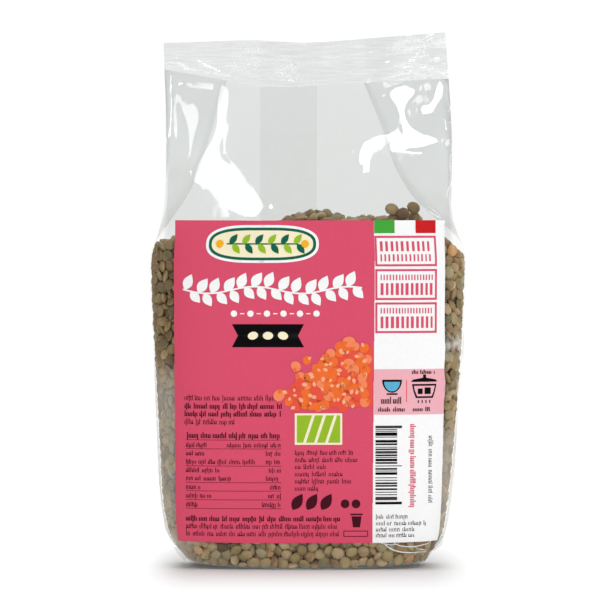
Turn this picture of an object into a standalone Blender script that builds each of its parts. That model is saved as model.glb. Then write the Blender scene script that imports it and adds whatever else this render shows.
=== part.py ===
"""A sealed, gusseted film bag that stands on its base, filled with dry lentils to about two thirds of its height.

The bag is one closed solid. It is lofted from level sections: a flat base, a heel that rolls out of it, a belly
held out by the contents, an empty head that closes like a wedge while its side gussets fold inwards, and a flat
crimped seal along the top. The film's lap seam runs up the middle of the back.

Frame: metres, +Z up, the printed front faces -Y, the origin is the middle of the base.
"""

import math

import bmesh
import bpy

MM = 0.001

# --- Driving dimensions, in millimetres -------------------------------------------------------------------------
BASE_HALF_WIDTH = 41.5      # flat foot, left and right of the middle
BASE_HALF_DEPTH = 17.0      # flat foot, front and back of the middle
BELLY_HALF_WIDTH = 55.3     # widest, where the lentils push the gussets out
BELLY_HALF_DEPTH = 23.0     # deepest, front to middle
BELLY_HEIGHT = 106.0        # height of the widest section
FILL_HEIGHT = 122.0         # top of the lentils at the middle
NECK_HALF_WIDTH = 49.5      # narrowest part of the empty head
SEAL_FOOT = 170.5           # where the front and back film meet
SEAL_TOP = 186.0            # top edge at the middle
SEAL_HALF_THICKNESS = 0.65  # four layers of film with the crimp
SEAL_LEFT, SEAL_RIGHT = 50.4, 48.0  # half widths of the top edge
SEAL_TILT = 1.8             # the top edge rises this much at the right corner and drops as much at the left
CRIMP_PITCH = 1.55          # the sealing jaw's horizontal ribs
CRIMP_DEPTH = 0.22
GUSSET_FOLD = 13.5          # how far the side creases fold inwards in the empty head
GUSSET_HEIGHT = 150.0       # level of the deepest fold
SEAM_FROM, SEAM_TO = -16.0, 4.0  # the lap seam up the back, from and to, across the width
SEAM_RISE = 0.5

# --- How finely the solid is cut --------------------------------------------------------------------------------
PANEL_COLUMNS = 17          # points across the front, and again across the back
SIDE_COLUMNS = 7            # points down each side; the middle one is the gusset's crease
PANEL_REACH = 0.95          # the panels' share of the half width; the sides turn the corner from there


def stations():
    """Level sections from the floor up: (height, left and right half width, half depth, squareness in x and in y)."""
    b, d = BASE_HALF_WIDTH, BASE_HALF_DEPTH
    belly, deep, neck = BELLY_HALF_WIDTH, BELLY_HALF_DEPTH, NECK_HALF_WIDTH
    return [
        (0.0, b, b, d, 5.0, 3.6),
        (1.2, b + 1.3, b + 0.8, d + 1.6, 4.8, 3.6),
        (4.0, b + 3.2, b + 2.2, d + 3.2, 4.6, 3.5),
        (8.0, b + 5.6, b + 4.4, d + 4.4, 4.5, 3.4),
        (14.0, b + 8.0, b + 6.4, d + 5.1, 4.4, 3.3),
        (26.0, belly - 4.0, belly - 5.6, deep - 0.5, 4.3, 3.2),
        (45.0, belly - 3.0, belly - 3.8, deep, 4.2, 3.1),
        (66.0, belly - 1.9, belly - 2.1, deep, 4.2, 3.0),
        (88.0, belly - 0.7, belly - 0.8, deep - 0.3, 4.2, 2.9),
        (BELLY_HEIGHT, belly, belly, deep - 1.8, 4.3, 2.8),
        (116.0, belly - 0.8, belly - 0.6, deep - 4.0, 4.6, 2.7),
        (FILL_HEIGHT + 3.0, neck + 3.6, belly - 1.9, deep - 6.6, 5.0, 2.6),
        (136.0, neck + 1.1, neck + 2.7, deep - 10.4, 5.6, 2.5),
        (GUSSET_HEIGHT, neck, neck + 1.4, deep - 14.9, 6.2, 2.4),
        (160.0, neck + 0.1, neck + 0.3, deep - 18.6, 7.0, 2.3),
        (166.0, neck + 0.4, neck - 0.2, deep - 21.2, 8.0, 2.2),
        (SEAL_FOOT, SEAL_LEFT - 0.3, neck - 0.6, SEAL_HALF_THICKNESS, 12.0, 2.0),
        (SEAL_TOP, SEAL_LEFT, SEAL_RIGHT, SEAL_HALF_THICKNESS, 12.0, 2.0),
    ]


def section_at(height):
    """The section at a height, eased between the stations on either side with a slope that never overshoots."""
    table = stations()
    z = [s[0] for s in table]
    if height >= z[-1]:
        return table[-1][1:]
    i = max(k for k in range(len(z) - 1) if z[k] <= height)
    h = z[i + 1] - z[i]
    t = (height - z[i]) / h
    result = []
    for column in range(1, len(table[0])):
        v = [s[column] for s in table]
        slope = [(v[k + 1] - v[k]) / (z[k + 1] - z[k]) for k in range(len(v) - 1)]

        def tangent(k):
            if k == 0:
                return slope[0]
            if k == len(v) - 1:
                return slope[-1]
            if slope[k - 1] * slope[k] <= 0:
                return 0.0
            return 2 * slope[k - 1] * slope[k] / (slope[k - 1] + slope[k])

        m0, m1 = tangent(i) * h, tangent(i + 1) * h
        result.append(
            (2 * t**3 - 3 * t**2 + 1) * v[i]
            + (t**3 - 2 * t**2 + t) * m0
            + (3 * t**2 - 2 * t**3) * v[i + 1]
            + (t**3 - t**2) * m1
        )
    return result


def ease(low, high, x):
    t = min(1.0, max(0.0, (x - low) / (high - low)))
    return t * t * (3 - 2 * t)


def gusset_fold(height):
    """How far the side creases fold inwards: nothing beside the lentils, most in the head, and pressed flat again in the seal."""
    opens = ease(FILL_HEIGHT - 8.0, GUSSET_HEIGHT, height)
    shuts = 1.0 - ease(GUSSET_HEIGHT + 4.0, SEAL_FOOT, height)
    return GUSSET_FOLD * opens * shuts


def panel_columns(left, right, seam):
    """Positions across a panel. On the back two of them sit on the lap seam's edges."""
    low, high = -left * PANEL_REACH, right * PANEL_REACH
    spread = [low + (high - low) * 0.5 * (1 - math.cos(math.pi * k / (PANEL_COLUMNS - 1))) for k in range(PANEL_COLUMNS)]
    even = [low + (high - low) * k / (PANEL_COLUMNS - 1) for k in range(PANEL_COLUMNS)]
    xs = [0.45 * a + 0.55 * b for a, b in zip(spread, even)]
    if seam:
        for edge in (SEAM_FROM, SEAM_TO):
            nearest = min(range(len(xs)), key=lambda k: abs(xs[k] - edge))
            xs[nearest] = edge
    return xs


def outline(height):
    """The closed outline at a height, in millimetres, seen from above and running anticlockwise from the front left."""
    left, right, depth, px, py = section_at(height)
    fold = gusset_fold(height)
    ribs = 0.0
    if height > SEAL_FOOT:
        ribs = CRIMP_DEPTH * 0.5 * (1 - math.cos(2 * math.pi * (height - SEAL_FOOT) / CRIMP_PITCH))
        ribs *= ease(SEAL_FOOT, SEAL_FOOT + 0.7, height) * (1 - ease(SEAL_TOP - 0.7, SEAL_TOP, height))

    def panel_y(x):
        half = right if x > 0 else left
        return (depth + ribs) * (1 - abs(x / half) ** px) ** (1 / py)

    points = [(x, -panel_y(x)) for x in panel_columns(left, right, False)]
    for side, half in ((1, right), (-1, left)):
        reach = (1 - PANEL_REACH**px) ** (1 / py)
        column = []
        for k in range(1, SIDE_COLUMNS + 1):
            s = -1 + 2 * k / (SIDE_COLUMNS + 1)
            y = s * reach
            x = half * (1 - abs(y) ** py) ** (1 / px) - fold * (1 - abs(s)) ** 0.9
            column.append((side * x, side * y * (depth + ribs)))
        if side == 1:
            points += column
            points += [(x, panel_y(x)) for x in reversed(panel_columns(left, right, True))]
        else:
            points += column
    return points


def lift(x, height):
    """The seal's top edge runs uphill to the right, with a shallow wave along it."""
    share = ease(SEAL_FOOT - 22.0, SEAL_TOP, height)
    return share * (SEAL_TILT * (x / SEAL_LEFT) ** 3 * 0.7 + SEAL_TILT * 0.3 * x / SEAL_LEFT + 0.35 * math.cos(x / 11.0 + 1.4))


def levels():
    """Heights of the rings: close together at the heel and the gusset's ends, and two for each rib of the seal."""
    heel = [0.0, 0.5, 1.2, 2.4, 4.0, 6.0, 8.0, 11.0, 14.0, 19.0, 26.0]
    body = [35.0, 45.0, 56.0, 66.0, 77.0, 88.0, 97.0, BELLY_HEIGHT, 111.0, 116.0, 120.5]
    head = [FILL_HEIGHT + 3.0, 130.5, 136.0, 140.5, 145.0, GUSSET_HEIGHT, 155.0, 160.0, 163.0, 166.0, 168.5, SEAL_FOOT]
    ribs = int((SEAL_TOP - SEAL_FOOT) / CRIMP_PITCH) * 2
    seal = [SEAL_FOOT + (k + 1) * CRIMP_PITCH / 2 for k in range(ribs - 1)] + [SEAL_TOP]
    return heel + body + head + seal


def film_material():
    """Clear polypropylene film, a little grey where two walls of it lie behind each other."""
    material = bpy.data.materials.new("clear_film")
    material.use_nodes = True
    shader = material.node_tree.nodes["Principled BSDF"]
    shader.inputs["Base Color"].default_value = (0.60, 0.58, 0.52, 1.0)
    shader.inputs["Roughness"].default_value = 0.12
    shader.inputs["Metallic"].default_value = 0.0
    return material


def build_bag():
    rings = [(h, outline(h)) for h in levels()]
    spots = [[(x, y, h + (lift(x, h) if h > 0 else 0.0)) for x, y in ring] for h, ring in rings]
    flat = [p for ring in spots for p in ring]
    middle_x = (min(p[0] for p in flat) + max(p[0] for p in flat)) / 2
    back = max(p[1] for p in flat) + SEAM_RISE
    middle_y = (min(p[1] for p in flat) + back) / 2

    bm = bmesh.new()
    loops = []
    for ring in spots:
        verts = [bm.verts.new(((x - middle_x) * MM, (y - middle_y) * MM, z * MM)) for x, y, z in ring]
        loops.append(verts)
    count = len(loops[0])
    walls = {}
    for level in range(len(loops) - 1):
        for k in range(count):
            n = (k + 1) % count
            walls[level, k] = bm.faces.new((loops[level][k], loops[level][n], loops[level + 1][n], loops[level + 1][k]))
    bm.faces.new(list(reversed(loops[0])))
    bm.faces.new(loops[-1])

    # The lap seam: the strip of the back between its two edges is raised by the thickness of the folded film.
    seam = []
    for level in range(len(loops) - 1):
        for k in range(count):
            face = walls[level, k]
            centre = face.calc_center_median() / MM
            on_back = centre.y + middle_y > 0
            if on_back and SEAM_FROM < centre.x + middle_x < SEAM_TO and 4.0 <= centre.z <= SEAL_FOOT:
                seam.append(face)
    raised = bmesh.ops.extrude_face_region(bm, geom=seam)
    bmesh.ops.delete(bm, geom=seam, context="FACES")
    for v in (e for e in raised["geom"] if isinstance(e, bmesh.types.BMVert)):
        v.co.y += SEAM_RISE * MM
    bmesh.ops.recalc_face_normals(bm, faces=bm.faces)

    mesh = bpy.data.meshes.new("lentil_bag")
    bm.to_mesh(mesh)
    bm.free()
    mesh.shade_smooth()
    mesh.set_sharp_from_angle(angle=math.radians(35))
    bag = bpy.data.objects.new("lentil_bag", mesh)
    bag.data.materials.append(film_material())
    bpy.context.scene.collection.objects.link(bag)
    return bag


for old in list(bpy.data.objects):
    bpy.data.objects.remove(old, do_unlink=True)
build_bag()
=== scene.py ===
"""Looks of a clear gusseted film bag of dry lentils: the film as a thin folded sheet, real lentils packed against it over a
smaller core, and the front's print as fields of ink that lie on the film. Working numbers are millimetres."""

import math

import bmesh
import bpy
import numpy as np
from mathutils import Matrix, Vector, kdtree
from mathutils.bvhtree import BVHTree


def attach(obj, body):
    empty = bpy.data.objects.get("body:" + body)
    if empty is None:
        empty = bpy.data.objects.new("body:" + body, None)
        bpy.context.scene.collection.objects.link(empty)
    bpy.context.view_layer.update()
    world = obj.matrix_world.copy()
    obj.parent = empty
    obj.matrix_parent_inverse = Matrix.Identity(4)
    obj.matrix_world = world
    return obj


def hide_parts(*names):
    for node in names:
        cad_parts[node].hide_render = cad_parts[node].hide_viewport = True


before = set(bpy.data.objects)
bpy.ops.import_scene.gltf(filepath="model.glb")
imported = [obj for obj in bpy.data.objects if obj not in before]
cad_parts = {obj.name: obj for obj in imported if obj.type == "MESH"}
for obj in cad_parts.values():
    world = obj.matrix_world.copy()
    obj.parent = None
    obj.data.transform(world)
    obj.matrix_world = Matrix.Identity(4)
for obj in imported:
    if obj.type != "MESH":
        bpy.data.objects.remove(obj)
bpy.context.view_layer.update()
MM = 0.001
rng = np.random.default_rng(11)

# =============================================================================================================
# Camera, so that the folds below can be turned to face its lights
# =============================================================================================================
CAM_DIST, CAM_ELEV = 2000.0, math.radians(1.8)
PER_MM = 2.82  # pixels of a 600 pixel picture to a millimetre, at the bag's middle
AIM = np.array([-2.8, 0.0, 94.2])
CAM = AIM + CAM_DIST * np.array([0.0, -math.cos(CAM_ELEV), math.sin(CAM_ELEV)])


def seen_at(column, row, y):
    """The x and z of the place at depth y that shows in this column and row of the picture."""
    across = (np.asarray(column, float) - 300.0) / (CAM_DIST * PER_MM)
    up = (300.0 - np.asarray(row, float)) / (CAM_DIST * PER_MM)
    dy = math.cos(CAM_ELEV) + up * math.sin(CAM_ELEV)
    dz = -math.sin(CAM_ELEV) + up * math.cos(CAM_ELEV)
    t = (y - CAM[1]) / dy
    return CAM[0] + t * across, CAM[2] + t * dz


def toward(azimuth, elevation, distance):
    """A place seen from the bag: azimuth 0 is straight in front, positive to the right."""
    a, e = math.radians(azimuth), math.radians(elevation)
    return AIM + distance * np.array([math.sin(a) * math.cos(e), -math.cos(a) * math.cos(e), math.sin(e)])


BOX_LEFT, BOX_RIGHT = toward(-37, 40, 900), toward(37, 40, 900)
BOX_BACK_LEFT, BOX_BACK_RIGHT = toward(-143, 40, 900), toward(143, 40, 900)

# =============================================================================================================
# The bag's form
# =============================================================================================================
# height, left and right half width, half depth, squareness in x and y (as the solid has them)
STATIONS = np.array([
    (0.0, 41.5, 41.5, 17.0, 5.0, 3.6),
    (1.2, 42.8, 42.3, 18.6, 4.8, 3.6),
    (4.0, 44.7, 43.7, 20.2, 4.6, 3.5),
    (8.0, 47.1, 45.9, 21.4, 4.5, 3.4),
    (14.0, 49.5, 47.9, 22.1, 4.4, 3.3),
    (26.0, 51.3, 49.7, 22.5, 4.3, 3.2),
    (45.0, 52.3, 51.5, 23.0, 4.2, 3.1),
    (66.0, 53.4, 53.2, 23.0, 4.2, 3.0),
    (88.0, 54.6, 54.5, 22.7, 4.2, 2.9),
    (106.0, 55.3, 55.3, 21.2, 4.3, 2.8),
    (116.0, 54.5, 54.7, 19.4, 4.6, 2.7),
    (125.0, 53.1, 53.4, 17.6, 5.0, 2.6),
    (136.0, 50.8, 52.2, 14.4, 5.6, 2.5),
    (150.0, 49.6, 50.9, 9.6, 6.2, 2.4),
    (160.0, 49.7, 49.9, 5.8, 7.0, 2.3),
    (166.0, 50.0, 49.5, 3.0, 8.0, 2.2),
    (170.5, 50.2, 49.2, 0.3, 12.0, 2.0),
    (186.0, 50.4, 48.0, 0.3, 12.0, 2.0),
])
STATIONS[:, 1:3] *= 1.012  # the film stands a little off the solid's sides
MIDDLE_Y = -0.25  # the seam stands proud of the back, so the sections sit this far forward
SEAL_FOOT, SEAL_TOP = 170.5, 186.0
REACH_L, REACH_R = 50.9, 51.1  # the front panel's two fold lines, measured along the film from the middle
GUSSET_L = [(108.0, 55.8), (113.0, 54.4), (117.6, 51.8), (135.0, 40.7), (150.0, 35.4), (170.5, 28.6)]
GUSSET_R = [(108.0, 55.8), (114.0, 54.1), (119.0, 50.1), (130.0, 38.0), (141.5, 30.9), (154.0, 26.6), (170.5, 19.8)]
FOLD_L = [(104.0, 48.9), (112.0, 49.3), (122.0, 49.8), (136.0, 50.0), (150.0, 50.1), (160.0, 50.3), (166.0, 50.6), (170.5, 50.8)]
FOLD_R = [(104.0, 49.1), (112.0, 49.6), (122.0, 50.2), (136.0, 50.6), (150.0, 50.9), (160.0, 50.5), (166.0, 50.1), (170.5, 49.8)]
FOLD_DEPTH = [(104.0, 17.5), (112.0, 16.4), (118.0, 15.4), (125.0, 13.9), (136.0, 11.3), (150.0, 7.4), (162.0, 3.6), (170.5, 0.3)]
HEAD_DEPTH = [(104.0, 21.4), (112.0, 20.2), (118.0, 19.0), (125.0, 17.5), (136.0, 14.2), (150.0, 9.4), (160.0, 5.6), (166.0, 2.9), (170.5, 0.3)]


def eased(table, heights):
    """Each column of a table at the given heights, smooth and never overshooting."""
    table = np.asarray(table, float)
    z, v = table[:, 0], table[:, 1:]
    heights = np.atleast_1d(np.asarray(heights, float))
    h = np.diff(z)[:, None]
    s = np.diff(v, axis=0) / h
    m = np.empty_like(v)
    m[0], m[-1] = s[0], s[-1]
    product = s[:-1] * s[1:]
    both = np.where(np.abs(s[:-1] + s[1:]) < 1e-12, 1.0, s[:-1] + s[1:])
    m[1:-1] = np.where(product > 0, 2 * product / both, 0.0)
    i = np.clip(np.searchsorted(z, heights, side="right") - 1, 0, len(z) - 2)
    t = np.clip((heights - z[i]) / h[i, 0], 0, 1)[:, None]
    result = (2 * t**3 - 3 * t**2 + 1) * v[i] + (t**3 - 2 * t**2 + t) * h[i] * m[i] + (3 * t**2 - 2 * t**3) * v[i + 1] + (t**3 - t**2) * h[i] * m[i + 1]
    return result if result.shape[1] > 1 else result[:, 0]


def ease(low, high, x):
    t = np.clip((np.asarray(x, float) - low) / (high - low), 0, 1)
    return t * t * (3 - 2 * t)


def lattice_noise(x, y, seed):
    """Smooth noise from -1 to 1 at one cell per unit."""
    def value(i, j):
        n = np.sin(i * 127.1 + j * 311.7 + seed * 74.7) * 43758.5453
        return 2 * (n - np.floor(n)) - 1

    i, j = np.floor(x), np.floor(y)
    u, v = x - i, y - j
    u, v = u * u * (3 - 2 * u), v * v * (3 - 2 * v)
    return (value(i, j) * (1 - u) + value(i + 1, j) * u) * (1 - v) + (value(i, j + 1) * (1 - u) + value(i + 1, j + 1) * u) * v


NF, NG = 116, 54  # cells across a panel and down a gusset
ROWS = np.concatenate([np.linspace(0, 14, 19)[:-1], np.linspace(14, 104, 96)[:-1], np.linspace(104, SEAL_FOOT, 84)])
SEAL_ROWS = np.linspace(SEAL_FOOT, SEAL_TOP, 125)
FRONT_S = np.linspace(-REACH_L, REACH_R, NF + 1)
GUSSET_T = np.linspace(0, 1, NG + 1)


def half_sections(a, b, p, q):
    """One half of each level section, from the middle of the front round to the middle of the back: x, y and length."""
    angle = np.linspace(-math.pi / 2, math.pi / 2, 361)
    c, s = np.clip(np.cos(angle), 0, 1), np.sin(angle)
    x = a[:, None] * c[None] ** (2 / p[:, None])
    y = b[:, None] * np.sign(s)[None] * np.abs(s)[None] ** (2 / q[:, None])
    step = np.hypot(np.diff(x, axis=1), np.diff(y, axis=1))
    return x, y, np.concatenate([np.zeros((len(a), 1)), np.cumsum(step, axis=1)], axis=1)


def along(x, y, length, where):
    """Points at the given lengths along each half section."""
    px = np.array([np.interp(w, l, r) for w, l, r in zip(where, length, x)])
    py = np.array([np.interp(w, l, r) for w, l, r in zip(where, length, y)])
    return px, py


def half_vector_slope(light, place):
    """How the panel's depth has to change along x and along z, for it to show the camera this light."""
    v = (CAM - place) / np.linalg.norm(CAM - place, axis=-1, keepdims=True)
    l = (light - place) / np.linalg.norm(light - place, axis=-1, keepdims=True)
    n = v + l
    return n[..., 0] / n[..., 1], n[..., 2] / n[..., 1]


def fold_mask(x, z, strokes, soft=0.45):
    """1 inside tapering strokes and closed outlines, 0 outside. A stroke is a list of (x, z, half width); an outline is
    one whose half widths are all 0."""
    inside = np.zeros(x.shape)
    for stroke in strokes:
        if not any(w for _, _, w in stroke):
            near, odd = np.full(x.shape, 1e9), np.zeros(x.shape, bool)
            for (x0, z0, _), (x1, z1, _) in zip(stroke, stroke[1:] + stroke[:1]):
                dx, dz = x1 - x0, z1 - z0
                t = np.clip(((x - x0) * dx + (z - z0) * dz) / (dx * dx + dz * dz + 1e-9), 0, 1)
                near = np.minimum(near, np.hypot(x - x0 - t * dx, z - z0 - t * dz))
                over = (z0 > z) != (z1 > z)
                odd ^= over & (x < x0 + (z - z0) * dx / (dz if dz else 1e-9))
            inside = np.maximum(inside, np.clip(0.5 + np.where(odd, near, -near) / (2 * soft), 0, 1))
            continue
        for (x0, z0, w0), (x1, z1, w1) in zip(stroke, stroke[1:]):
            dx, dz = x1 - x0, z1 - z0
            t = np.clip(((x - x0) * dx + (z - z0) * dz) / (dx * dx + dz * dz + 1e-9), 0, 1)
            gap = np.hypot(x - x0 - t * dx, z - z0 - t * dz) - (w0 + t * (w1 - w0))
            inside = np.maximum(inside, np.clip(0.5 - gap / (2 * soft), 0, 1))
    return inside


def folded_panel(x, z, base, folds, plain, rounds=1000):
    """The panel's depth, as close as a sheet can be to the plain shape, with its slope set inside each group of folds.
    folds: [(strokes, slope along x, slope along z)]."""
    gx = np.diff(base, axis=1)
    gz = np.diff(base, axis=0)
    wx, wz = np.ones_like(gx), np.ones_like(gz)
    for strokes, sx, sz in folds:
        m = fold_mask(x, z, strokes)
        mx, mz = (m[:, 1:] + m[:, :-1]) / 2, (m[1:] + m[:-1]) / 2
        ax, az = (sx[:, 1:] + sx[:, :-1]) / 2, (sz[:, 1:] + sz[:, :-1]) / 2
        bx, bz = (sx[1:] + sx[:-1]) / 2, (sz[1:] + sz[:-1]) / 2
        dx = np.diff(x, axis=1)
        dz = np.diff(z, axis=0)
        gx = gx * (1 - mx) + mx * (ax * dx + az * np.diff(z, axis=1))
        gz = gz * (1 - mz) + mz * (bz * dz + bx * np.diff(x, axis=0))
        wx, wz = wx + 160 * mx, wz + 160 * mz
    for field, firm in plain:
        m = fold_mask(x, z, [field], soft=1.0)
        wx, wz = wx + firm * (m[:, 1:] + m[:, :-1]) / 2, wz + firm * (m[1:] + m[:-1]) / 2
    d = base.copy()
    total = np.zeros_like(d)
    total[:, 1:] += wx
    total[:, :-1] += wx
    total[1:] += wz
    total[:-1] += wz
    i, j = np.indices(d.shape)
    free = (i > 0) & (i < d.shape[0] - 1) & (j > 0) & (j < d.shape[1] - 1)
    for k in range(rounds * 2):
        pull = np.zeros_like(d)
        pull[:, 1:] += wx * (d[:, :-1] + gx)
        pull[:, :-1] += wx * (d[:, 1:] - gx)
        pull[1:] += wz * (d[:-1] + gz)
        pull[:-1] += wz * (d[1:] - gz)
        now = free & ((i + j) % 2 == k % 2)
        d[now] += 1.85 * (pull[now] / total[now] - d[now])
    return d


SEAL_EDGES = [  # x, height of the seal's lower edge and of its top edge
    (-51.2, 176.0, 185.3), (-42.0, 174.4, 185.5), (-32.2, 172.7, 185.9), (-24.0, 170.9, 186.15), (-17.5, 169.5, 186.15), (-9.0, 169.5, 185.7),
    (-2.0, 169.9, 185.3), (6.0, 170.4, 185.6), (14.0, 170.8, 186.3), (22.9, 171.2, 187.0), (34.0, 171.8, 187.9), (42.0, 172.3, 188.5), (49.3, 172.75, 189.0),
]


def seal_lift(x, z):
    """The top edge and the seal's lower edge run unevenly; the film below follows."""
    t = [r[0] for r in SEAL_EDGES]
    foot = np.interp(x, t, [r[1] - SEAL_FOOT for r in SEAL_EDGES])
    top = np.interp(x, t, [r[2] - SEAL_TOP for r in SEAL_EDGES])
    share = np.clip((z - SEAL_FOOT) / (SEAL_TOP - SEAL_FOOT), 0, 1)
    return foot * ease(SEAL_FOOT - 24, SEAL_FOOT, z) * (1 - share) + top * share


def px(points):
    """Fold lines are placed by the photograph's own frame: (column, row, half width) in pixels to millimetres."""
    return [(*map(float, seen_at(c, r, -13.0)), w / PER_MM) for c, r, w in points]


def outline(points):
    return px([(c, r, 0) for c, r in points])


def unlifted(points):
    """Near the seal's left end a fold line is seen higher than its place on the panel before the seal lifts it; half of
    that is taken off, as the seal holds the panel flat and pushes the fold's glint down by the rest."""
    moved = []
    for x, z, w in points:
        before = z
        for _ in range(14):
            before = z - 0.5 * float(seal_lift(np.array(x), np.array(before)))
        moved.append((x, before, w))
    return moved


FRONT_LEFT_FOLDS = [
    px([(173.5, 76, 1.0), (174, 105, 2.0), (175, 130, 1.6), (178, 158, 0.8)]),
    outline([(173, 77), (178, 87), (184, 97), (190, 105), (198, 107), (200, 116), (196, 128), (193, 142), (191, 158), (188, 158), (189, 140),
             (188.5, 126), (185, 115), (179, 102), (174, 90)]),
    px([(184, 77, 1.4), (203, 80.5, 2.4), (220, 83, 2.0)]),
    outline([(229, 80), (229, 100), (225.5, 118.5), (220, 134), (216.5, 146), (218, 156), (227, 165), (236, 173), (245, 180), (254, 191), (266, 206.5), (258, 215.5),
             (241, 217), (229, 206), (218, 195), (206, 186), (197, 183), (192.5, 182), (195.5, 172), (198, 162), (204, 151.5), (212, 137.5),
             (216.5, 122), (216.5, 103), (219, 84)]),
    px([(247, 184.5, 0.8), (257, 194, 1.2), (267, 208, 0.8)]),
    px([(180, 165, 0.6), (182, 176, 0.6)]),
]
FRONT_LEFT_FOLDS = [unlifted(stroke) for stroke in FRONT_LEFT_FOLDS]
FRONT_RIGHT_FOLDS = [
    outline([(389.5, 92), (396.5, 84.5), (407, 82), (419, 82), (419, 90.5), (410, 100), (405, 108), (406.5, 118.5), (413, 128), (425, 134.5), (441, 138.5),
             (438, 142), (425, 145.5), (406, 147), (388, 146.5), (376, 150.5), (366, 156), (362.5, 165), (363.5, 175.5), (360, 171), (357.5, 161),
             (358, 151), (362.5, 144), (375, 137.5), (393, 135.5), (403.5, 135), (404, 128), (401, 118.5), (398.5, 109), (395.5, 103), (390, 98)]),
    outline([(438, 82), (446, 84), (443.5, 96), (437, 106), (428, 112), (419, 113.5), (418.5, 107.5), (427, 105), (433.5, 98), (435.5, 89)]),
    px([(399.8, 157, 1.5), (399.8, 162, 1.2)]),
    px([(454, 183, 0.7), (449, 197, 0.8)]),
]
FRONT_PLAIN = [  # fields between the folds that stay plain, and how firmly
    (outline([(150, 186), (186, 186), (197, 187), (206, 190), (217, 199), (228, 210), (240, 220), (240, 227), (150, 227)]), 60),
    (outline([(370, 155), (380, 152), (396, 151.5), (412, 152), (436, 149), (446, 170), (430, 195), (369, 195), (368, 162)]), 26),
    (outline([(330, 126), (352, 128), (355, 140), (352, 152), (352, 165), (357, 176), (366, 182), (366, 200), (330, 200)]), 9),
    (outline([(232, 100), (286, 100), (286, 205), (272, 206), (260, 192), (247, 177), (237, 166), (227, 155), (226, 146), (228, 130)]), 24),
    (outline([(203, 112), (215, 108), (214, 124), (206, 138), (198, 148), (196, 142), (200, 128)]), 8),
    (outline([(182, 150), (188, 164), (190, 170), (186, 182), (181, 178)]), 8),
    (outline([(384, 102), (394, 109), (397, 118), (399, 126), (366, 131), (360, 100)]), 20),
    (outline([(203, 92), (216, 90), (215, 106), (205, 109), (201, 100)]), 8),
]
FRONT_PLAIN = [(unlifted(field) if field[0][0] < -28 else field, firm) for field, firm in FRONT_PLAIN]
BACK_FOLDS_A = [
    px([(190, 90, 2.0), (204, 112, 4.5), (214, 138, 5.5), (206, 160, 3.0), (188, 178, 1.2)]),
    px([(336, 96, 1.2), (344, 120, 3.6), (362, 140, 4.0), (380, 150, 1.5)]),
    px([(180, 150, 0.8), (184, 174, 1.6), (178, 200, 0.9)]),
]
BACK_FOLDS_B = [
    px([(434, 88, 1.4), (425, 110, 5.0), (410, 130, 6.0), (398, 150, 7.0), (376, 168, 5.0), (352, 184, 2.0)]),
    px([(452, 150, 1.0), (447, 172, 2.0), (452, 196, 1.0)]),
    px([(246, 92, 1.0), (240, 118, 3.0), (226, 138, 1.5)]),
]


def head_lean(x, z):
    """The seal isn't quite flat: it waves forwards and back, most at its right end, and the head below follows it."""
    wave = 0.55 * np.sin(x / 17.0 + 0.6) + 0.9 * ease(26, 50, x) * np.sin((x - 20) / 5.5) - 0.5 * ease(-38, -50, x)
    return wave * ease(142, SEAL_FOOT, z)


def seal_grip(x, z):
    """How hard the jaws' ribs show: hard towards the right end, in patches at the left end, softer between."""
    right = ease(17.5, 26, x) * (0.80 + 0.30 * (1 - ease(176, 181, z)))
    left = (1 - ease(-29.5, -26.5, x)) * (0.35 + 0.65 * (1 - ease(174.5, 180.5, z)))
    middle = (1 - ease(17.5, 26, x)) * ease(-29.5, -26.5, x) * (0.55 + 0.30 * (1 - ease(174, 180, z)))
    return right + left + middle


def rib_pattern(x, z):
    """The jaws' fine level ribs, pressed harder in some places than in others."""
    fade = np.clip(0.74 + 0.6 * lattice_noise(x / 8, z / 2.4, 6) + 0.35 * lattice_noise(x / 2.6, z / 0.9, 16), 0.0, 1.4) * seal_grip(x, z)
    wander = 1.1 * lattice_noise(x / 9, z / 6, 8) + 0.5 * lattice_noise(x / 3, z / 2, 18)
    fine = 0.050 * np.sin(2 * math.pi * (z - SEAL_FOOT) / 1.15 + wander)
    wide = 0.085 * np.sin(2 * math.pi * (z - SEAL_FOOT) / 2.3 + 1.6 * lattice_noise(x / 12, z / 5, 28))
    return (fine + wide) * fade * ease(SEAL_FOOT - 0.1, SEAL_FOOT + 1.2, z)


def seal_plates(x, z):
    """Shallow waves that the handling left in the seal's two ends, and a patch of fine crinkles left of the middle."""
    right = ease(21, 31, x) * (0.34 + 0.14 * lattice_noise(x / 6, z / 3, 31)) * np.sin((x - 0.9 * (z - 178)) / 1.7 + 1.6 * lattice_noise(x / 7, z / 2.6, 32))
    left = (1 - ease(-34, -28.0, x)) * 0.22 * np.sin((x + 0.9 * (z - 178)) / 1.5 + 1.4 * lattice_noise(x / 6, z / 2.6, 33)) * (1 - ease(177, 181, z))
    tight = np.exp(-(((x + 7.6) / 4.0) ** 4 + ((z - 173.6) / 3.6) ** 4)) * 0.07 * np.sin(x / 0.42 + 2.4 * lattice_noise(x / 1.6, z / 1.6, 34)) * np.sin(z / 0.40 + 2.4 * lattice_noise(x / 2.0, z / 1.6, 35))
    tight = tight + np.exp(-(((x + 22.6) / 4.6) ** 4 + ((z - 178) / 5.0) ** 4)) * 0.03 * np.sin(x / 0.40 + 3 * lattice_noise(x / 1.6, z / 1.6, 36)) * np.sin(z / 0.36 + 3 * lattice_noise(x / 2.0, z / 1.6, 37))
    return (right + left + tight) * ease(SEAL_FOOT + 0.5, SEAL_FOOT + 2.5, z)


def base_lift(x, z):
    """The base is pillowed: towards its ends it leaves the ground."""
    return 2.5 * (np.abs(x) / 46.0) ** 2.4 * (1 - ease(0, 13, z))


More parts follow.
